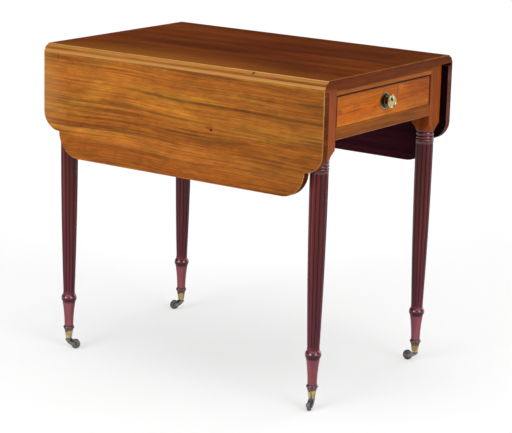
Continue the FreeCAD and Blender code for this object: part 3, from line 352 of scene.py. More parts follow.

# %% [markdown]
# ### The woods of this table
# The leaf is golden mahogany, the top has darkened to a red brown, and the drawer end is warmer still. The
# undersides and the inside of the leaves are painted almost black, as painted shade. The drawer's sides and
# the runners are oak and the brackets beech, planed and left bare.

# %% Woods
leaf_wood = timber(
    "leaf_mahogany", "y", [(154, 84, 20), (171, 98, 28), (188, 116, 42)], 1, streak=0.43, fine=0.4,
    pores=0.35, ripple=0.13, glow=0.16, spec=0.12, sway=0.05, longer=2.4, broad=2.4, gold=(188, 126, 38),
)
edge_wood = timber("moulded_edge_mahogany", "y", [(126, 70, 22), (150, 90, 32), (172, 110, 46)], 11, spec=0.1)
# Pale arrises: partly wear and partly a painted highlight where the edges catch the light.
worn_and_highlit_wood = timber(
    "worn_and_highlit_arris_mahogany", "y", [(160, 108, 50), (182, 130, 68), (200, 150, 88)], 14, streak=0.2
)
end_wood = timber(
    "end_grain_mahogany", "x", [(88, 36, 3), (108, 48, 6), (126, 62, 14)], 12, streak=0.2, pores=0.4,
    gloss=0.45, spec=0.04,
)
right_end_wood = timber(
    "right_leaf_end_mahogany", "x", [(78, 34, 24), (100, 48, 36), (120, 62, 48)], 16, gloss=0.45, spec=0.06
)
top_end_wood = timber(
    "top_end_mahogany", "x", [(94, 38, 6), (114, 50, 11), (132, 63, 18)], 15, gloss=0.45, spec=0.05
)
# Painted shade: the underside of the top and the inner faces of the leaves get an almost black colour.
underside_shade_wood = timber(
    "underside_painted_shade_mahogany", "y", [(60, 16, 30), (78, 26, 42), (96, 38, 54)], 13, gloss=0.6, spec=0.06
)
top_wood = timber(
    "top_mahogany", "y", [(100, 42, 9), (115, 52, 12), (130, 64, 17)], 2, streak=0.3, fine=0.3, clouds=0.3,
    glow=0.1, gloss=0.5, spec=0.05,
)
drawer_wood = timber(
    "drawer_front_mahogany", "x", [(182, 86, 18), (206, 106, 26), (226, 132, 42)], 3, streak=0.2, ripple=0.1,
    clouds=0.12, glow=0.1, gloss=0.4, spec=0.06,
)
rail_wood = timber(
    "rail_mahogany", "x", [(130, 66, 16), (152, 83, 25), (172, 102, 36)], 4, gloss=0.4, spec=0.06
)
upper_wood = timber(
    "upper_rail_mahogany", "x", [(166, 88, 26), (190, 107, 38), (210, 126, 52)], 17, gloss=0.4, spec=0.06
)
side_wood = timber("side_rail_mahogany", "y", [(70, 32, 22), (88, 44, 28), (104, 56, 36)], 5)
oak_tones = [(132, 98, 60), (158, 122, 78), (180, 146, 98)]
oak_along = timber("oak_along_the_table", "y", oak_tones, 6, pores=0.45, gloss=0.55)
oak_across = timber("oak_across_the_table", "x", oak_tones, 7, pores=0.45, gloss=0.55)
beech = timber("beech", "y", [(150, 104, 66), (172, 126, 84), (190, 146, 102)], 8, streak=0.15, gloss=0.55)
print("woods:", [m.name for m in bpy.data.materials if "mahogany" in m.name or "oak" in m.name])

# %% [markdown]
# ### Marks of age, painted shade and painted light
# The hanging leaf that we see has one small dark knot below its middle and a short check at its far upper
# corner, where the board dried out. Its near end is darker than its far one, as painted shade, and its far
# upper end lighter, as painted light. The long edge of the top has a nick, the strip of the top beside it is
# bleached, and the drawer front is darker on its right, as painted shade. Each of these is an ellipsoid in
# the
# board: we move and scale the coordinates so that the mark is a unit ball, and change the colour where the
# distance from its centre is below one. A wide ball gives a gentle drift of colour. The moulded edge of the
# top and the upper rim of a leaf are pale, partly from wear and partly as a painted highlight. Painted shade
# lies along three edges of the drawer front and darkens it towards its upper edge, and a painted shadow of
# the top lies on the rail above it. Those are straight bands, so one coordinate is enough to find them.

# %% Helpers for marks
def mark(tree, centre, radii, core):
    """1 inside an ellipsoid, 0 outside, with a rim that is soft from the core outwards."""
    mapping = make(tree, "ShaderNodeMapping", {
        "Vector": object_place(tree), "Scale": [1 / r for r in radii],
        "Location": [-c / r for c, r in zip(centre, radii)],
    })
    length = make(tree, "ShaderNodeVectorMath", {0: mapping.outputs["Vector"]}, operation="LENGTH")
    return remap(tree, length.outputs["Value"], core, 1.0, 1.0, 0.0)


def marked(material, marks):
    """Puts marks on a finish, each a blend, a strength, a tone, a centre, radii and a core."""
    tree = material.node_tree
    for blend, strength, tone, centre, radii, core in marks:
        recolour(material, blend, sums(tree, "MULTIPLY", mark(tree, centre, radii, core), strength), tone)


def banded(material, span, shares, tone, blend="MIX"):
    """Blends a tone into a finish by a share that changes over a span of heights."""
    tree = material.node_tree
    recolour(material, blend, remap(tree, coordinate(tree, "Z"), *span, *shares), tone)


print("helpers: mark, marked, banded")

# %% Knot, check, nick, drifts and bands
EDGE_SHOULDER, EDGE_FOOT = (0.7040, 0.7062), (0.6990, 0.7004)
LEAF_RIM, RAIL_PAINTED_SHADOW = (0.6938, 0.6948), (0.6790, 0.6835)
DRAWER_TOP_SHADE, DRAWER_TOP_GAP, DRAWER_SIDE_GAP = (0.655, 0.668), (0.6684, 0.6692), (0.1856, 0.1864)
# On the leaf: painted shade at the near end, a darker band low down, painted light at the far upper end, then
# the knot in two marks and the check.
marked(leaf_wood, [
    ("MULTIPLY", 1.0, (228, 226, 226), (-0.259, -0.42, 0.56), (0.2, 0.42, 0.5), 0.1),
    ("MULTIPLY", 1.0, (240, 228, 222), (-0.259, 0.0, 0.44), (0.2, 0.6, 0.13), 0.1),
    ("MIX", 0.35, (206, 152, 84), (-0.259, 0.39, 0.60), (0.2, 0.10, 0.16), 0.0),
    ("MIX", 0.6, (112, 54, 18), (-0.259, -0.0860, 0.5800), (0.02, 0.0150, 0.0060), 0.2),
    ("MIX", 0.95, (48, 16, 8), (-0.259, -0.0919, 0.5757), (0.02, 0.0050, 0.0034), 0.5),
    ("MIX", 0.85, (70, 34, 16), (-0.259, 0.3334, 0.6860), (0.02, 0.0011, 0.0120), 0.5),
])
# Pale bands on the leaf's upper rim and on the top's moulded edge: partly wear and partly painted highlight.
banded(leaf_wood, LEAF_RIM, (0.0, 0.5), (206, 158, 96))
banded(edge_wood, EDGE_SHOULDER, (0.0, 0.6), (180, 128, 62))
banded(edge_wood, EDGE_FOOT, (0.75, 0.0), (192, 142, 80))
marked(edge_wood, [
    ("MIX", 0.9, (52, 22, 10), (-0.247, -0.190, 0.7070), (0.012, 0.0045, 0.0035), 0.4),
])
marked(top_wood, [
    ("MIX", 0.6, (150, 90, 26), (-0.27, 0.10, 0.711), (0.19, 0.60, 0.1), 0.1),
    ("MULTIPLY", 1.0, (246, 226, 230), (0.05, -0.06, 0.711), (0.15, 0.22, 0.1), 0.1),
])
# Painted shade: the inside of the right leaf is darker still near its front end, beside the leg.
marked(underside_shade_wood, [
    ("MULTIPLY", 1.0, (90, 60, 80), (0.24, -0.375, 0.58), (0.1, 0.13, 0.3), 0.2),
])
# The first mark is painted shade over the right part of the drawer front.
marked(drawer_wood, [
    ("MULTIPLY", 1.0, (216, 206, 220), (0.20, -0.36, 0.64), (0.26, 0.3, 0.3), 0.1),
    ("MULTIPLY", 1.0, (206, 190, 180), (-0.176, -0.36, 0.637), (0.014, 0.1, 0.008), 0.1),
    ("MULTIPLY", 1.0, (214, 200, 190), (-0.118, -0.36, 0.645), (0.0012, 0.1, 0.09), 0.4),
    ("MIX", 0.4, (236, 150, 66), (0.066, -0.36, 0.662), (0.016, 0.1, 0.012), 0.0),
    ("MULTIPLY", 1.0, (222, 206, 196), (0.052, -0.36, 0.650), (0.006, 0.1, 0.020), 0.0),
])
# Painted shade: the drawer front darkens towards its upper edge.
banded(drawer_wood, DRAWER_TOP_SHADE, (0.0, 0.5), (136, 62, 18))
# Painted shadow: the upper part of the rail above the drawer is darkened where the top overhangs it.
banded(upper_wood, RAIL_PAINTED_SHADOW, (0.0, 1.0), (180, 152, 132), "MULTIPLY")
front = drawer_wood.node_tree
# Painted shade: dark lines along the top and both ends of the drawer front, where the gaps are.
side_gap_shade = remap(front, sums(front, "ABSOLUTE", coordinate(front, "X")), *DRAWER_SIDE_GAP, 0.0, 0.93)
top_gap_shade = remap(front, coordinate(front, "Z"), *DRAWER_TOP_GAP, 0.0, 0.93)
recolour(drawer_wood, "MIX", sums(front, "MAXIMUM", side_gap_shade, top_gap_shade), (20, 7, 4))
print("marks: a knot, a check, a nick, a bleached strip, drifts of colour, pale rims and dirt in the gaps")

# %% [markdown]
# ## The leg's two colours
# The legs are one piece of wood each, but the square block keeps the warm brown of the frame, while the
# turned and reeded part is stained a deep plum red. Two materials would leave a hard line, so one finish
# changes with the height above the floor, and the change lies in the turned hollow under the block. An
# attribute that the leg's mesh carries puts painted shade in the grooves between the reeds and a painted
# highlight on their crests, and a band of painted shade lies under the ring.

# %% Leg finish
leg_wood = timber("leg_mahogany", "z", [(126, 55, 13), (148, 70, 20), (170, 90, 30)], 9, spec=0.1)
stain = leg_wood.node_tree
leg_inputs = stain.nodes[SHADER].inputs
brown = leg_inputs["Base Color"].links[0].from_socket
leg_height = coordinate(stain, "Z")


def by_height(low, high, to_low, to_high):
    """A share that changes between two heights on the leg."""
    return remap(stain, leg_height, low, high, to_low, to_high)


def blended(share, first, second, blend="MIX"):
    return mixed(stain, blend, share, first, second)


plum = stretched_noise(stain, stretch("z", 70, 3), 3, 0.6, 0.3, (4, 4, 4))
plum_high = wood_ramp(stain, plum, (60, 12, 12), (84, 21, 20), (108, 34, 30))
plum_low = wood_ramp(stain, plum, (62, 14, 26), (82, 24, 36), (102, 38, 48))
plum_ankle = wood_ramp(stain, plum, (92, 44, 50), (112, 57, 63), (128, 70, 75))
plum_colour = blended(by_height(0.14, 0.40, 1.0, 0.0), plum_high, plum_low)
plum_colour = blended(by_height(0.105, 0.113, 1.0, 0.0), plum_colour, plum_ankle)
plum_colour = blended(by_height(0.053, 0.055, 0.8, 0.0), plum_colour, linear(52, 14, 36))
# Painted shade on the lower side of the ring, where it swells out.
under_ring_shade = sums(stain, "MULTIPLY", by_height(0.1100, 0.1115, 0.0, 0.75), by_height(0.119, 0.122, 1.0, 0.0))
plum_colour = blended(under_ring_shade, plum_colour, linear(40, 10, 22))
stain_edge = by_height(0.538, 0.546, 1.0, 0.0)
groove_mark = make(stain, "ShaderNodeAttribute", attribute_name="groove").outputs["Fac"]
# Painted highlight on the crests of the reeds, and painted shade in the grooves between them.
crest_highlight = remap(stain, groove_mark, 0.0, 0.10, 1.35, 1.0)
hollow = remap(stain, groove_mark, 0.35, 0.9, 1.0, 0.2)
reed_light_and_shade = grey(stain, sums(stain, "MULTIPLY", crest_highlight, hollow))
stained = blended(1.0, blended(stain_edge, brown, plum_colour), reed_light_and_shade, "MULTIPLY")
stain.links.new(stained, leg_inputs["Base Color"])
on_ring = sums(stain, "MULTIPLY", by_height(0.1170, 0.1215, 0.0, 1.0), by_height(0.128, 0.131, 1.0, 0.0))
on_collar = by_height(0.052, 0.054, 1.0, 0.0)
on_beads = by_height(0.510, 0.514, 0.0, 1.0)
rubbed_bright = sums(stain, "MAXIMUM", sums(stain, "MAXIMUM", on_ring, on_collar), on_beads)
lacquer = remap(stain, rubbed_bright, 0.0, 1.0, 0.25, 1.0)
stain.links.new(sums(stain, "MULTIPLY", stain_edge, lacquer), leg_inputs["Coat Weight"])
leg_inputs["Coat Roughness"].default_value = 0.06
leg_inputs["Coat IOR"].default_value = 1.55
print("leg finish: plum and polished below the block, brown above it, dark in the grooves")

# %% [markdown]
# ## Metal
# The knob, its plate and the cups of the casters are brass that has been polished often, so it is bright
# where hands reach and dull in the hollows. The plate is painted almost black round the knob's foot, a
# painted dark reflection, and a cup is brown at its rim. The horns are dark bronze, and the wheels, hinges
# and screws iron or steel. One function makes them all: a metal whose colour and gloss wander a little with
# two noises.

# %% Metal finishes
def metal(name, bright, dull, gloss, seed, wander=38):
    """A worn metal; wander is how many patches of it go into a metre."""
    material, tree, shader = new_finish(name)
    away = (seed * 2.3, seed * 4.1, seed * 6.7)
    patches = stretched_noise(tree, [wander] * 3, 4, 0.6, 0.3, away)
    specks = stretched_noise(tree, [wander * 14] * 3, 2, 0.5, 0, away)
    worn = sums(tree, "ADD", sums(tree, "MULTIPLY", patches, 0.75), sums(tree, "MULTIPLY", specks, 0.25))
    tree.links.new(colour_ramp(tree, worn, {0.36: dull, 0.56: bright}), shader.inputs["Base Color"])
    tree.links.new(remap(tree, worn, 0.35, 0.6, gloss + 0.16, gloss), shader.inputs["Roughness"])
    bump = make(tree, "ShaderNodeBump", {"Strength": 0.15, "Distance": 0.0002, "Height": specks})
    tree.links.new(bump.outputs["Normal"], shader.inputs["Normal"])
    shader.inputs["Metallic"].default_value = 1.0
    return material


CUP_RIM = (0.0385, 0.0415)
plate_brass = metal("plate_brass", (168, 150, 106), (88, 72, 44), 0.2, 8, 90)
# Painted dark reflection: the plate is almost black round the knob's foot.
marked(plate_brass, [
    ("MIX", 0.95, (20, 15, 10), (0.0, -0.3625, 0.6384), (0.0186, 0.03, 0.0186), 0.8),
])
knob_brass = metal("knob_brass", (192, 176, 128), (126, 106, 64), 0.18, 1, 60)
cup_brass = metal("cup_brass", (200, 180, 134), (120, 98, 62), 0.26, 2)
banded(cup_brass, CUP_RIM, (0.0, 0.8), (84, 56, 50))
horn_bronze = metal("horn_bronze", (134, 126, 118), (78, 72, 66), 0.36, 3)
wheel_iron = metal("wheel_iron", (100, 98, 100), (52, 50, 54), 0.42, 4)
hinge_iron = metal("hinge_iron", (98, 92, 88), (58, 52, 48), 0.46, 5)
screw_steel = metal("screw_steel", (150, 146, 140), (96, 92, 88), 0.32, 6)
cup_screw_brass = metal("cup_screw_brass", (76, 44, 34), (44, 24, 20), 0.4, 7)
print("metal: brass, bronze, iron and steel")

# %% [markdown]
# ## Copies that take polish well
# A node of the frame is a shell of loose triangles with hard edges. On a real board a plane or sandpaper has
# taken the sharpness off every edge, and that thin rounded line is what catches the light. So each piece that
# shows is copied, its doubles are merged, flat triangles are dissolved into clean faces, and its edges get a
# narrow bevel where the frame left them square. Normals weighted by face area keep the flats flat.

# %% Eased copies of the frame's pieces
def settle(piece, smooth_below=26):
    """Smooth shading that breaks at sharp bends, with flats kept flat, as a plain mesh."""
    for face in piece.data.polygons:
        face.use_smooth = True
    piece.data.set_sharp_from_angle(angle=math.radians(smooth_below))
    weigh = piece.modifiers.new("weigh_normals", "WEIGHTED_NORMAL")
    weigh.keep_sharp = True
    weigh.weight = 90
    evaluated = piece.evaluated_get(bpy.context.evaluated_depsgraph_get())
    plain = bpy.data.meshes.new_from_object(evaluated)
    piece.modifiers.remove(weigh)
    old = piece.data
    piece.data = plain
    bpy.data.meshes.remove(old)
    plain.name = piece.name


def dress(piece, node, material):
    """The piece takes the node's place: it gets its finish and rides on the same body."""
    piece.data.materials.clear()
    piece.data.materials.append(material)
    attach(piece, carrier[node])
    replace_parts(piece, node)


def clean_copy(node):
    """The shape of a node with its triangles merged, and with one face for each flat."""
    shape = bmesh.new()
    shape.from_mesh(nodes[node].data)
    bmesh.ops.remove_doubles(shape, verts=shape.verts, dist=1e-6)
    bmesh.ops.dissolve_limit(shape, angle_limit=math.radians(0.5), verts=shape.verts, edges=shape.edges)
    return shape


def placed(name, mesh):
    piece = bpy.data.objects.new(name, mesh)
    scene.collection.objects.link(piece)
    return piece


def eased_copy(node, material, ease=0.0, where=lambda middle: True):
    """A dressed copy of a node; edges that pass the place test are eased by a narrow bevel."""
    mesh = bpy.data.meshes.new(node + "_dressed")
    shape = clean_copy(node)
    if ease:
        square = [
            e for e in shape.edges
            if len(e.link_faces) == 2 and e.calc_face_angle(0) > math.radians(50)
            and where((e.verts[0].co + e.verts[1].co) / 2)
        ]
        bmesh.ops.bevel(
            shape, geom=square, offset=ease, offset_type="OFFSET", segments=2, profile=0.5,
            affect="EDGES", clamp_overlap=True,
        )
    shape.to_mesh(mesh)
    shape.free()
    piece = placed(node + "_dressed", mesh)
    settle(piece)
    dress(piece, node, material)
    return piece


print("copies ready to be made from", len(nodes), "nodes")

# %% [markdown]
# ### Which pieces are copied
# Each row names a node, the slot of its finish, its material and how far its edges are eased. A piece has no
# ease where the frame has rounded it already, where it is turned or cast, or where it hides under the top.
# The top, the drawer front and the rail below it are eased on one side only, where hands and cloths reach.

# %% Make the copies
eased = []
for node, slot, material, ease in (
    ("drawer_top_rail", "frieze_mahogany", upper_wood, 0.0005),
    ("back_end_rail", "frieze_mahogany", rail_wood, 0.0007),
    ("side_rail_left", "frieze_mahogany", side_wood, 0.0006),
    ("side_rail_right", "frieze_mahogany", side_wood, 0.0006),
    ("drawer_side_left", "frame_oak", oak_along, 0.0005),
    ("drawer_side_right", "frame_oak", oak_along, 0.0005),
    ("drawer_back", "frame_oak", oak_across, 0.0005),
    ("drawer_bottom", "frame_oak", oak_across, 0.0003),
    ("drawer_runners", "frame_oak", oak_along, 0.0006),
    ("drawer_kickers", "frame_oak", oak_along, 0),
    ("drawer_stops", "frame_oak", oak_across, 0.0004),
    ("glue_blocks", "frame_oak", oak_across, 0.0006),
    ("knob", "knob_brass", knob_brass, 0),
    ("knob_backplate", "knob_brass", plate_brass, 0),
    ("knob_nut", "screw_steel", screw_steel, 0),
):
    eased.append(eased_copy(node, material, ease))
TOP_FACE = 0.7105
FRONT_FACE = -0.3590
for node, slot, material, ease, where in (
    ("top_board", "top_mahogany", top_wood, 0.0016, lambda middle: middle.z > TOP_FACE),
    ("drawer_front", "frieze_mahogany", drawer_wood, 0.0008, lambda middle: middle.y < FRONT_FACE),
    ("drawer_bottom_rail", "frieze_mahogany", rail_wood, 0.0012, lambda middle: middle.y < FRONT_FACE),
):
    eased.append(eased_copy(node, material, ease, where))
for side in ("left", "right"):
    eased.append(eased_copy(f"leaf_{side}", leaf_wood))
    eased.append(eased_copy(f"fly_block_{side}", beech, 0))
    for end in ("front", "back"):
        eased.append(eased_copy(f"fly_bracket_{side}_{end}", beech, 0))
for corner in ("front_left", "front_right", "back_left", "back_right"):
    eased.append(eased_copy(f"caster_cup_{corner}", cup_brass, 0))
    eased.append(eased_copy(f"caster_horn_{corner}", horn_bronze, 0))
    eased.append(eased_copy(f"caster_axle_{corner}", horn_bronze, 0))
    eased.append(eased_copy(f"caster_wheel_{corner}", wheel_iron, 0))
print("eased copies:", len(eased), "pieces,", sum(len(p.data.polygons) for p in eased), "faces")

# %% [markdown]
# ### Faces that differ on one piece
# A board shows long grain on its faces and end grain at its ends, and polish stops at its edges. A mask could
# blend such finishes, but the change is sharp on the real board. So each face takes a material by the way
# that it faces and by where it is.

# %% Finishes by facing
def finish_by_facing(piece, finishes):
    """Gives each face the first finish whose test its direction and middle pass."""
    piece.data.materials.clear()
    for material, test in finishes:
        piece.data.materials.append(material)
    tests = [test for material, test in finishes]
    for face in piece.data.polygons:
        face.material_index = next(i for i, test in enumerate(tests) if test(face.normal, face.center))


STRAIGHT, SLANTED = 0.97, 0.15
LEAF_OUTER_ROUND, LEAF_UPPER_ROUND, TOP_ROUND = 0.2565, 0.2550, 0.7095
by_node = {piece["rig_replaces"][0]: piece for piece in eased}
# Inner faces of the leaves and the underside of the top take the almost black finish of painted shade; the
# arrises take the pale finish of wear and painted highlight.
for side, out, ends in (("left", -1, end_wood), ("right", 1, right_end_wood)):
    finish_by_facing(by_node[f"leaf_{side}"], [
        (leaf_wood, lambda way, middle: way.x * out > STRAIGHT),
        (worn_and_highlit_wood, lambda way, middle: way.x * out > SLANTED and abs(middle.x) > LEAF_OUTER_ROUND),
        (worn_and_highlit_wood, lambda way, middle: way.z > 0.5 and abs(middle.x) > LEAF_UPPER_ROUND),
        (underside_shade_wood, lambda way, middle: way.x * out < -0.5),
        (ends, lambda way, middle: True),
    ])
finish_by_facing(by_node["top_board"], [
    (top_wood, lambda way, middle: way.z > STRAIGHT and middle.z > TOP_FACE),
    (worn_and_highlit_wood, lambda way, middle: way.z > SLANTED and abs(way.x) > SLANTED and middle.z > TOP_ROUND),
    (underside_shade_wood, lambda way, middle: way.z < -0.5),
    (edge_wood, lambda way, middle: abs(way.y) < 0.5),
    (top_end_wood, lambda way, middle: True),
])
finish_by_facing(by_node["drawer_front"], [
    (drawer_wood, lambda way, middle: way.y < -SLANTED),
    (oak_across, lambda way, middle: True),
])
# The lower front arris of the bottom rail takes the pale finish of wear and painted highlight.
finish_by_facing(by_node["drawer_bottom_rail"], [
    (worn_and_highlit_wood, lambda way, middle: way.y < -SLANTED and way.z < -SLANTED),
    (rail_wood, lambda way, middle: True),
])
print("finished by facing:", [p.name for p in eased if len(p.data.materials) > 1])

# %% [markdown]
# ## The turned and reeded legs
# A leg starts as a square stick. The lathe turns beads, a ring and a collar into it, and a scratch tool then
# cuts twelve grooves down the shaft so that reeds stand between them. Every section of it follows a rule: the
# radius is what the lathe leaves at that height, less the groove at that angle, and never more than the
# square stick. Geometry Nodes can apply that rule to a grid, so the tree below takes the lathe's profile as
# its input mesh and bends a grid round it. Reeds modelled by hand would do too, but these are easy to change.
# The profile is drawn here in millimetres, as a turner would mark it, from the foot up.

# %% Profile of the lathe
def turned_arc(start, end, radius, steps=10):
    """Points after start on an arc that swells outwards, or is hollow where the radius is negative."""
    start, end = Vector(start), Vector(end)
    chord = end - start
    half = chord.length / 2
    outward = Vector((chord.y, -chord.x)).normalized()
    deep = math.sqrt(max(radius * radius - half * half, 0))
    centre = (start + end) / 2 - outward * math.copysign(deep, radius)
    first = math.atan2(start.y - centre.y, start.x - centre.x)
    turn = math.atan2(end.y - centre.y, end.x - centre.x) - first
    turn = (turn + math.pi) % (2 * math.pi) - math.pi
    reach = (start - centre).length
    angles = [first + turn * step / steps for step in range(1, steps + 1)]
    return [(centre.x + reach * math.cos(a), centre.y + reach * math.sin(a)) for a in angles]


def swell(chord, rise):
    """Radius of an arc that stands out by a rise over a chord."""
    return (chord * chord / 4 + rise * rise) / (2 * rise)


def sweep(run, rise):
    """Radius of an arc that leaves upright and moves sideways by a rise over a run."""
    return (run * run + rise * rise) / (2 * rise)


SHAFT_FOOT, SHAFT_HEAD = 133.0, 514.0
SHAFT_HEAD_RADIUS, SHAFT_TAPER = 19.8, 6.7
REED_END = 7.0
foot = [(0, 29.05), (5.75, 29.05), (8.65, 44.5), (10.2, 44.5)]
foot += turned_arc(foot[-1], (10.2, 52.5), swell(8, 2.6))
foot += turned_arc(foot[-1], (15.2, 112), -sweep(59.5, 5), 16)
foot += turned_arc(foot[-1], (17.6, 119.5), sweep(7.5, 2.4), 8)
foot += turned_arc(foot[-1], (13.6, 128.5), sweep(9, 4), 8)
foot.append((13.6, SHAFT_FOOT))
head = [(20.3, SHAFT_HEAD), (20.3, 517), (18.6, 517)]
head += turned_arc(head[-1], (18.6, 523.5), swell(6.5, 2.1))
head += turned_arc(head[-1], (18.6, 530), swell(6.5, 2.1))
head += turned_arc(head[-1], (18.6, 540), swell(10, 2.1), 12)
head.append((20.7, 540))
head += turned_arc(head[-1], (45, 565), -32, 24)
head += [(45, 600), (45, 640), (45, 693), (0, 693)]
shaft_length = SHAFT_HEAD - SHAFT_FOOT
shaft_heights = [SHAFT_FOOT + 0.01 + (shaft_length - 0.02) * step / 48 for step in range(49)]
for near in (0.4, 1.2, 2.5, 4.5):
    shaft_heights += [SHAFT_FOOT + near, SHAFT_HEAD - near]
shaft = []
for height in sorted(shaft_heights):
    down = (SHAFT_HEAD - height) / shaft_length
    share = min((height - SHAFT_FOOT) / REED_END, (SHAFT_HEAD - height) / REED_END, 1.0)
    shaft.append((SHAFT_HEAD_RADIUS - SHAFT_TAPER * down * down, math.sqrt(1 - (1 - share) ** 2), height))
profile = [(radius, 0.0, height) for radius, height in foot]
profile += shaft
profile += [(radius, 0.0, height) for radius, height in head]
print("lathe profile:", len(profile), "points,", len(shaft), "of them on the reeded shaft")

# %% [markdown]
# ### The node tree
# The profile is a line of points: across is the lathe's radius, up is the height, and the third number says
# how much of the reeds is cut there. The tree makes a grid with one row to a point and many columns round the
# leg, and looks up its row's point. The groove deepens with the square of the distance from a reed's middle,
# which is close to a round reed. The square stick's own outline then limits the radius, with eased corners.

# %% How a tree starts, ends and runs
def new_tree(name, entries):
    """An empty tree with a mesh and named entries as its inputs, and the sockets that give them."""
    tree = bpy.data.node_groups.new(name, "GeometryNodeTree")
    for label, kind in {"Geometry": "Geometry", **entries}.items():
        tree.interface.new_socket(label, in_out="INPUT", socket_type="NodeSocket" + kind)
    tree.interface.new_socket("Geometry", in_out="OUTPUT", socket_type="NodeSocketGeometry")
    return tree, make(tree, "NodeGroupInput").outputs


def finish_tree(tree, geometry, material):
    """Ends a tree: instances become real, and the mesh gets its material."""
    real = make(tree, "GeometryNodeRealizeInstances", {0: geometry})
    coat = make(tree, "GeometryNodeSetMaterial", {"Geometry": real.outputs[0], "Material": material})
    make(tree, "NodeGroupOutput", {"Geometry": coat.outputs[0]})
    return tree


def run_tree(name, mesh, tree, entries):
    """The tree's result on a mesh, as a plain mesh; entries are given by the names of the tree's inputs."""
    holder = placed(name, mesh)
    modifier = holder.modifiers.new("tree", "NODES")
    modifier.node_group = tree
    for socket in tree.interface.items_tree:
        if socket.in_out == "INPUT" and socket.name in entries:
            modifier[socket.identifier] = entries[socket.name]
    evaluated = holder.evaluated_get(bpy.context.evaluated_depsgraph_get())
    plain = bpy.data.meshes.new_from_object(evaluated)
    bpy.data.objects.remove(holder)
    return plain


print("helpers: new tree, finish tree, run tree")


# %% Tree for a turned and reeded leg
def leg_tree():
    tree, given = new_tree("turned_and_reeded_leg", {
        "Columns": "Int", "Reeds": "Int", "Groove Share": "Float", "Block Half Width": "Float",
        "Corner Reach": "Float", "Wood": "Material",
    })

    def maths(kind, first, second=0.0):
        return sums(tree, kind, first, second)

    size = make(tree, "GeometryNodeAttributeDomainSize", {"Geometry": given["Geometry"]})
    rows = size.outputs["Point Count"]
    grid = make(tree, "GeometryNodeMeshGrid", {
        "Vertices X": maths("ADD", given["Columns"], 1), "Vertices Y": rows,
    })
    index = make(tree, "GeometryNodeInputIndex").outputs["Index"]
    column = maths("FLOOR", maths("DIVIDE", maths("ADD", index, 0.5), rows))
    lookup = make(tree, "GeometryNodeSampleIndex", {
        "Geometry": given["Geometry"], "Value": make(tree, "GeometryNodeInputPosition").outputs[0],
        "Index": maths("SUBTRACT", index, maths("MULTIPLY", column, rows)),
    }, data_type="FLOAT_VECTOR", domain="POINT")
    point = make(tree, "ShaderNodeSeparateXYZ", {0: lookup.outputs["Value"]}).outputs
    round_share = maths("DIVIDE", column, given["Columns"])
    angle = maths("MULTIPLY", round_share, 2 * math.pi)
    within_reed = maths("FRACT", maths("MULTIPLY", round_share, given["Reeds"]))
    across_reed = maths("SUBTRACT", maths("MULTIPLY", within_reed, 2), 1)
    from_middle = maths("SUBTRACT", 1.0, maths("ABSOLUTE", across_reed))
    groove = maths("MULTIPLY", maths("MULTIPLY", from_middle, from_middle), point["Y"])
    left = maths("SUBTRACT", 1.0, maths("MULTIPLY", groove, given["Groove Share"]))
    lathe = maths("MULTIPLY", point["X"], left)
    cosine, sine = maths("COSINE", angle), maths("SINE", angle)
    widest = maths("MAXIMUM", maths("ABSOLUTE", cosine), maths("ABSOLUTE", sine))
    flat = maths("DIVIDE", given["Block Half Width"], widest)
    radius = maths("MINIMUM", lathe, maths("MINIMUM", flat, given["Corner Reach"]))
    place = make(tree, "ShaderNodeCombineXYZ", {
        "X": maths("MULTIPLY", radius, cosine), "Y": maths("MULTIPLY", radius, sine), "Z": point["Z"],
    })
    bend = make(tree, "GeometryNodeSetPosition", {
        "Geometry": grid.outputs["Mesh"], "Position": place.outputs[0],
    })
    keep = make(tree, "GeometryNodeStoreNamedAttribute", {
        "Geometry": bend.outputs[0], "Name": "groove", "Value": groove,
    }, data_type="FLOAT", domain="POINT")
    close = make(tree, "GeometryNodeMergeByDistance", {"Geometry": keep.outputs[0], "Distance": 1e-6})
    return finish_tree(tree, close.outputs[0], given["Wood"])


leg_profile = bpy.data.meshes.new("leg_profile")
points = [Vector((radius / 1000, reeded, height / 1000)) for radius, reeded, height in profile]
leg_profile.from_pydata(points, [(i, i + 1) for i in range(len(points) - 1)], [])
one_leg = run_tree("leg_on_the_lathe", leg_profile, leg_tree(), {
    "Columns": 192, "Reeds": 12, "Groove Share": 1.9 / SHAFT_HEAD_RADIUS, "Block Half Width": 0.0225,
    "Corner Reach": 0.0312, "Wood": leg_wood,
})
print("one leg:", len(one_leg.vertices), "points,", len(one_leg.polygons), "faces")

# %% [markdown]
# ### Four legs in their places
# The four legs are alike, so the tree runs once and its mesh is copied. Each copy is moved inside its mesh,
# not by its object, so that the grain, which reads Object coordinates, is different on every leg. The faces
# are turned outwards after the seam is closed, because bending a grid can leave them inside out.

# %% Place the legs
for end in ("front", "back"):
    for side in ("left", "right"):
        node = f"leg_{end}_{side}"
        low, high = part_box(node)
        stand = Vector(((low.x + high.x) / 2, (low.y + high.y) / 2, 0))
        leg_mesh = one_leg.copy()
        leg_mesh.transform(Matrix.Translation(stand))
        shape = bmesh.new()
        shape.from_mesh(leg_mesh)
        bmesh.ops.remove_doubles(shape, verts=shape.verts, dist=1e-6)
        bmesh.ops.recalc_face_normals(shape, faces=shape.faces)
        shape.to_mesh(leg_mesh)
        shape.free()
        leg = placed(node + "_dressed", leg_mesh)
        settle(leg, 34)
        dress(leg, node, leg_wood)
        print(node, "stands at", [round(v, 4) for v in stand], "with", len(leg.data.polygons), "faces")

# %% [markdown]
# ## Screws
# The screws are old ones, with a flat head and a single slot that was filed into it. No two of them stopped
# at the same angle. The frame says where they are: each has a flat cap at its head and another at its point,
# so we look for pairs of caps that face away from each other. The larger cap is the head, and on a screw with
# no larger one it is the cap that faces away from its leg.

# %% Where the screws are
leg_middles = []
for end in ("front", "back"):
    for side in ("left", "right"):
        low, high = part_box(f"leg_{end}_{side}")
        leg_middles.append((low + high) / 2)


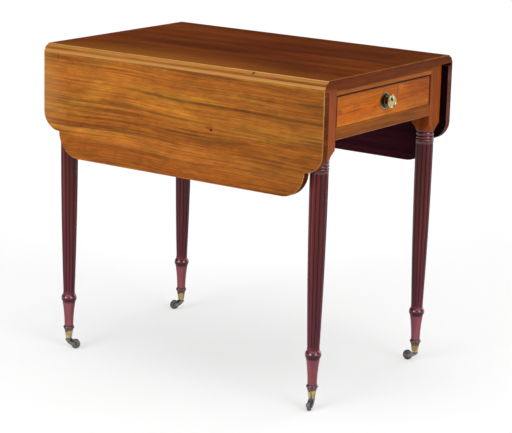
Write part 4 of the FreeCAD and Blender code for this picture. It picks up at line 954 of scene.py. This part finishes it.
def faces_outwards(middle, facing):
    """Whether a cap faces away from the leg nearest to it."""
    nearest = min(leg_middles, key=lambda leg: (leg - middle).xy.length)
    return (middle - nearest).xy.dot(facing.xy) > 0


def screw_heads(node):
    """The middle and facing of each screw's head in a node, and the sizes that its screws share."""
    shape = clean_copy(node)
    caps = []
    for face in shape.faces:
        if len(face.verts) > 8:
            middle = face.calc_center_median()
            caps.append((middle, face.normal.copy(), max((v.co - middle).length for v in face.verts)))
    shape.free()
    heads = []
    for middle, facing, radius in caps:
        behind = [
            ((middle - m).dot(facing), r) for m, f, r in caps
            if f.dot(facing) < -0.99 and (middle - m).cross(facing).length < 1e-5
        ]
        length, point_radius = min(cap for cap in behind if cap[0] > 0)
        if radius > 1.05 * point_radius or (radius > 0.95 * point_radius and faces_outwards(middle, facing)):
            heads.append((middle, facing))
            sizes = {"Head Radius": radius, "Shank Radius": point_radius, "Length": length}
    return heads, sizes


print("legs stand at", [[round(v, 3) for v in leg.xy] for leg in leg_middles])

# %% [markdown]
# ### A tree that makes slotted screws
# One screw could be modelled and copied by hand to each place. The tree makes it from a cone, a cylinder and
# a bar that cuts the slot, sets one on each point along the way that the point faces, and turns each by a
# random angle with a fixed seed.

# %% Tree for slotted screws
SCREW_SIDES = 24


def screw_tree():
    tree, given = new_tree("slotted_screws", {
        "Head Radius": "Float", "Head Depth": "Float", "Shank Radius": "Float", "Length": "Float",
        "Slot Width": "Float", "Slot Depth": "Float", "Seed": "Int", "Metal": "Material",
    })

    def maths(kind, first, second=0.0):
        return sums(tree, kind, first, second)

    def lowered(mesh, depth):
        down = make(tree, "ShaderNodeCombineXYZ", {"Z": maths("MULTIPLY", depth, -1)}).outputs[0]
        return make(tree, "GeometryNodeTransform", {"Geometry": mesh, "Translation": down}).outputs[0]

    head = make(tree, "GeometryNodeMeshCone", {
        "Vertices": SCREW_SIDES, "Radius Top": given["Head Radius"], "Radius Bottom": given["Shank Radius"],
        "Depth": given["Head Depth"],
    })
    half_head = maths("MULTIPLY", given["Head Depth"], 0.5)
    shank = make(tree, "GeometryNodeMeshCylinder", {
        "Vertices": SCREW_SIDES, "Radius": given["Shank Radius"],
        "Depth": maths("SUBTRACT", given["Length"], half_head),
    })
    shank_middle = maths("MULTIPLY", maths("ADD", given["Length"], half_head), 0.5)
    solid = make(tree, "GeometryNodeMeshBoolean", {
        "Mesh 2": lowered(head.outputs["Mesh"], given["Head Depth"]),
    }, operation="UNION", solver="EXACT")
    tree.links.new(lowered(shank.outputs["Mesh"], shank_middle), solid.inputs["Mesh 2"])
    bar_size = make(tree, "ShaderNodeCombineXYZ", {
        "X": maths("MULTIPLY", given["Head Radius"], 3), "Y": given["Slot Width"],
        "Z": maths("MULTIPLY", given["Slot Depth"], 2),
    })
    bar = make(tree, "GeometryNodeMeshCube", {"Size": bar_size.outputs[0]})
    slotted = make(tree, "GeometryNodeMeshBoolean", {
        "Mesh 1": solid.outputs["Mesh"], "Mesh 2": bar.outputs["Mesh"],
    }, operation="DIFFERENCE", solver="EXACT")
    facing = make(tree, "GeometryNodeInputNamedAttribute", {"Name": "facing"}, data_type="FLOAT_VECTOR")
    upright = make(tree, "FunctionNodeAlignRotationToVector", {
        "Vector": facing.outputs["Attribute"],
    }, axis="Z")
    chance = make(tree, "FunctionNodeRandomValue", {"Seed": given["Seed"]}, data_type="FLOAT")
    turn = make(tree, "FunctionNodeAxisAngleToRotation", {
        "Axis": (0, 0, 1), "Angle": maths("MULTIPLY", chance.outputs[1], math.pi),
    })
    turned = make(tree, "FunctionNodeRotateRotation", {
        "Rotation": upright.outputs["Rotation"], "Rotate By": turn.outputs["Rotation"],
    }, rotation_space="LOCAL")
    spread = make(tree, "GeometryNodeInstanceOnPoints", {
        "Points": given["Geometry"], "Instance": slotted.outputs["Mesh"],
        "Rotation": turned.outputs["Rotation"],
    })
    return finish_tree(tree, spread.outputs[0], given["Metal"])


slotted_screws = screw_tree()
print("screw tree:", len(slotted_screws.nodes), "nodes")

# %% Set the screws
SLOT_WIDTH, SLOT_DEPTH = 0.28, 0.24  # shares of the head's radius
PLAIN_HEAD = 0.3  # share of the length, on a screw whose head is no wider than its shank
for seed, (node, slot, material) in enumerate((
    ("top_hinge_screws", "screw_steel", screw_steel),
    ("leaf_hinge_screws_left", "screw_steel", screw_steel),
    ("leaf_hinge_screws_right", "screw_steel", screw_steel),
    ("top_screws", "screw_steel", screw_steel),
    ("fly_block_screws", "screw_steel", screw_steel),
    ("caster_cup_screws", "cup_brass", cup_screw_brass),
)):
    heads, sizes = screw_heads(node)
    countersink = sizes["Head Radius"] - sizes["Shank Radius"]
    wider = countersink > 0.05 * sizes["Shank Radius"]
    sizes["Head Depth"] = countersink if wider else PLAIN_HEAD * sizes["Length"]
    points = bpy.data.meshes.new(node + "_points")
    points.from_pydata([middle for middle, facing in heads], [], [])
    ways = points.attributes.new("facing", "FLOAT_VECTOR", "POINT")
    ways.data.foreach_set("vector", [number for middle, facing in heads for number in facing])
    screw_mesh = run_tree(node + "_points", points, slotted_screws, {
        **sizes, "Slot Width": SLOT_WIDTH * sizes["Head Radius"],
        "Slot Depth": SLOT_DEPTH * sizes["Head Radius"], "Seed": seed, "Metal": material,
    })
    screws = placed(node + "_dressed", screw_mesh)
    settle(screws)
    dress(screws, node, material)
    print(node, len(heads), "screws,", {label: round(size * 1000, 2) for label, size in sizes.items()}, "mm")

# %% [markdown]
# ## Hinge flaps and pins
# These pieces keep the frame's own shape, which is right, and only get their finish. A node that keeps its
# shape is never moved or remeshed: its material slot is all that changes.

# %% Finishes for the pieces that stay
kept = {
    "top_hinge_flaps": hinge_iron, "leaf_hinge_flaps_left": hinge_iron, "leaf_hinge_flaps_right": hinge_iron,
    "leaf_hinge_pins": hinge_iron, "fly_pins": screw_steel,
}
for node, material in kept.items():
    nodes[node].data.materials.clear()
    nodes[node].data.materials.append(material)
print("kept from the frame:", len(kept), "nodes")

# %% [markdown]
# ## Measure and finish
# The finished table must fill the same box as the frame. Both boxes are printed.

# %% Sizes of both boxes
dressed_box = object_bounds()
sizes = {"cad": [list(corner) for corner in cad_box], "visual": [list(corner) for corner in dressed_box]}
print("boxes:", sizes)
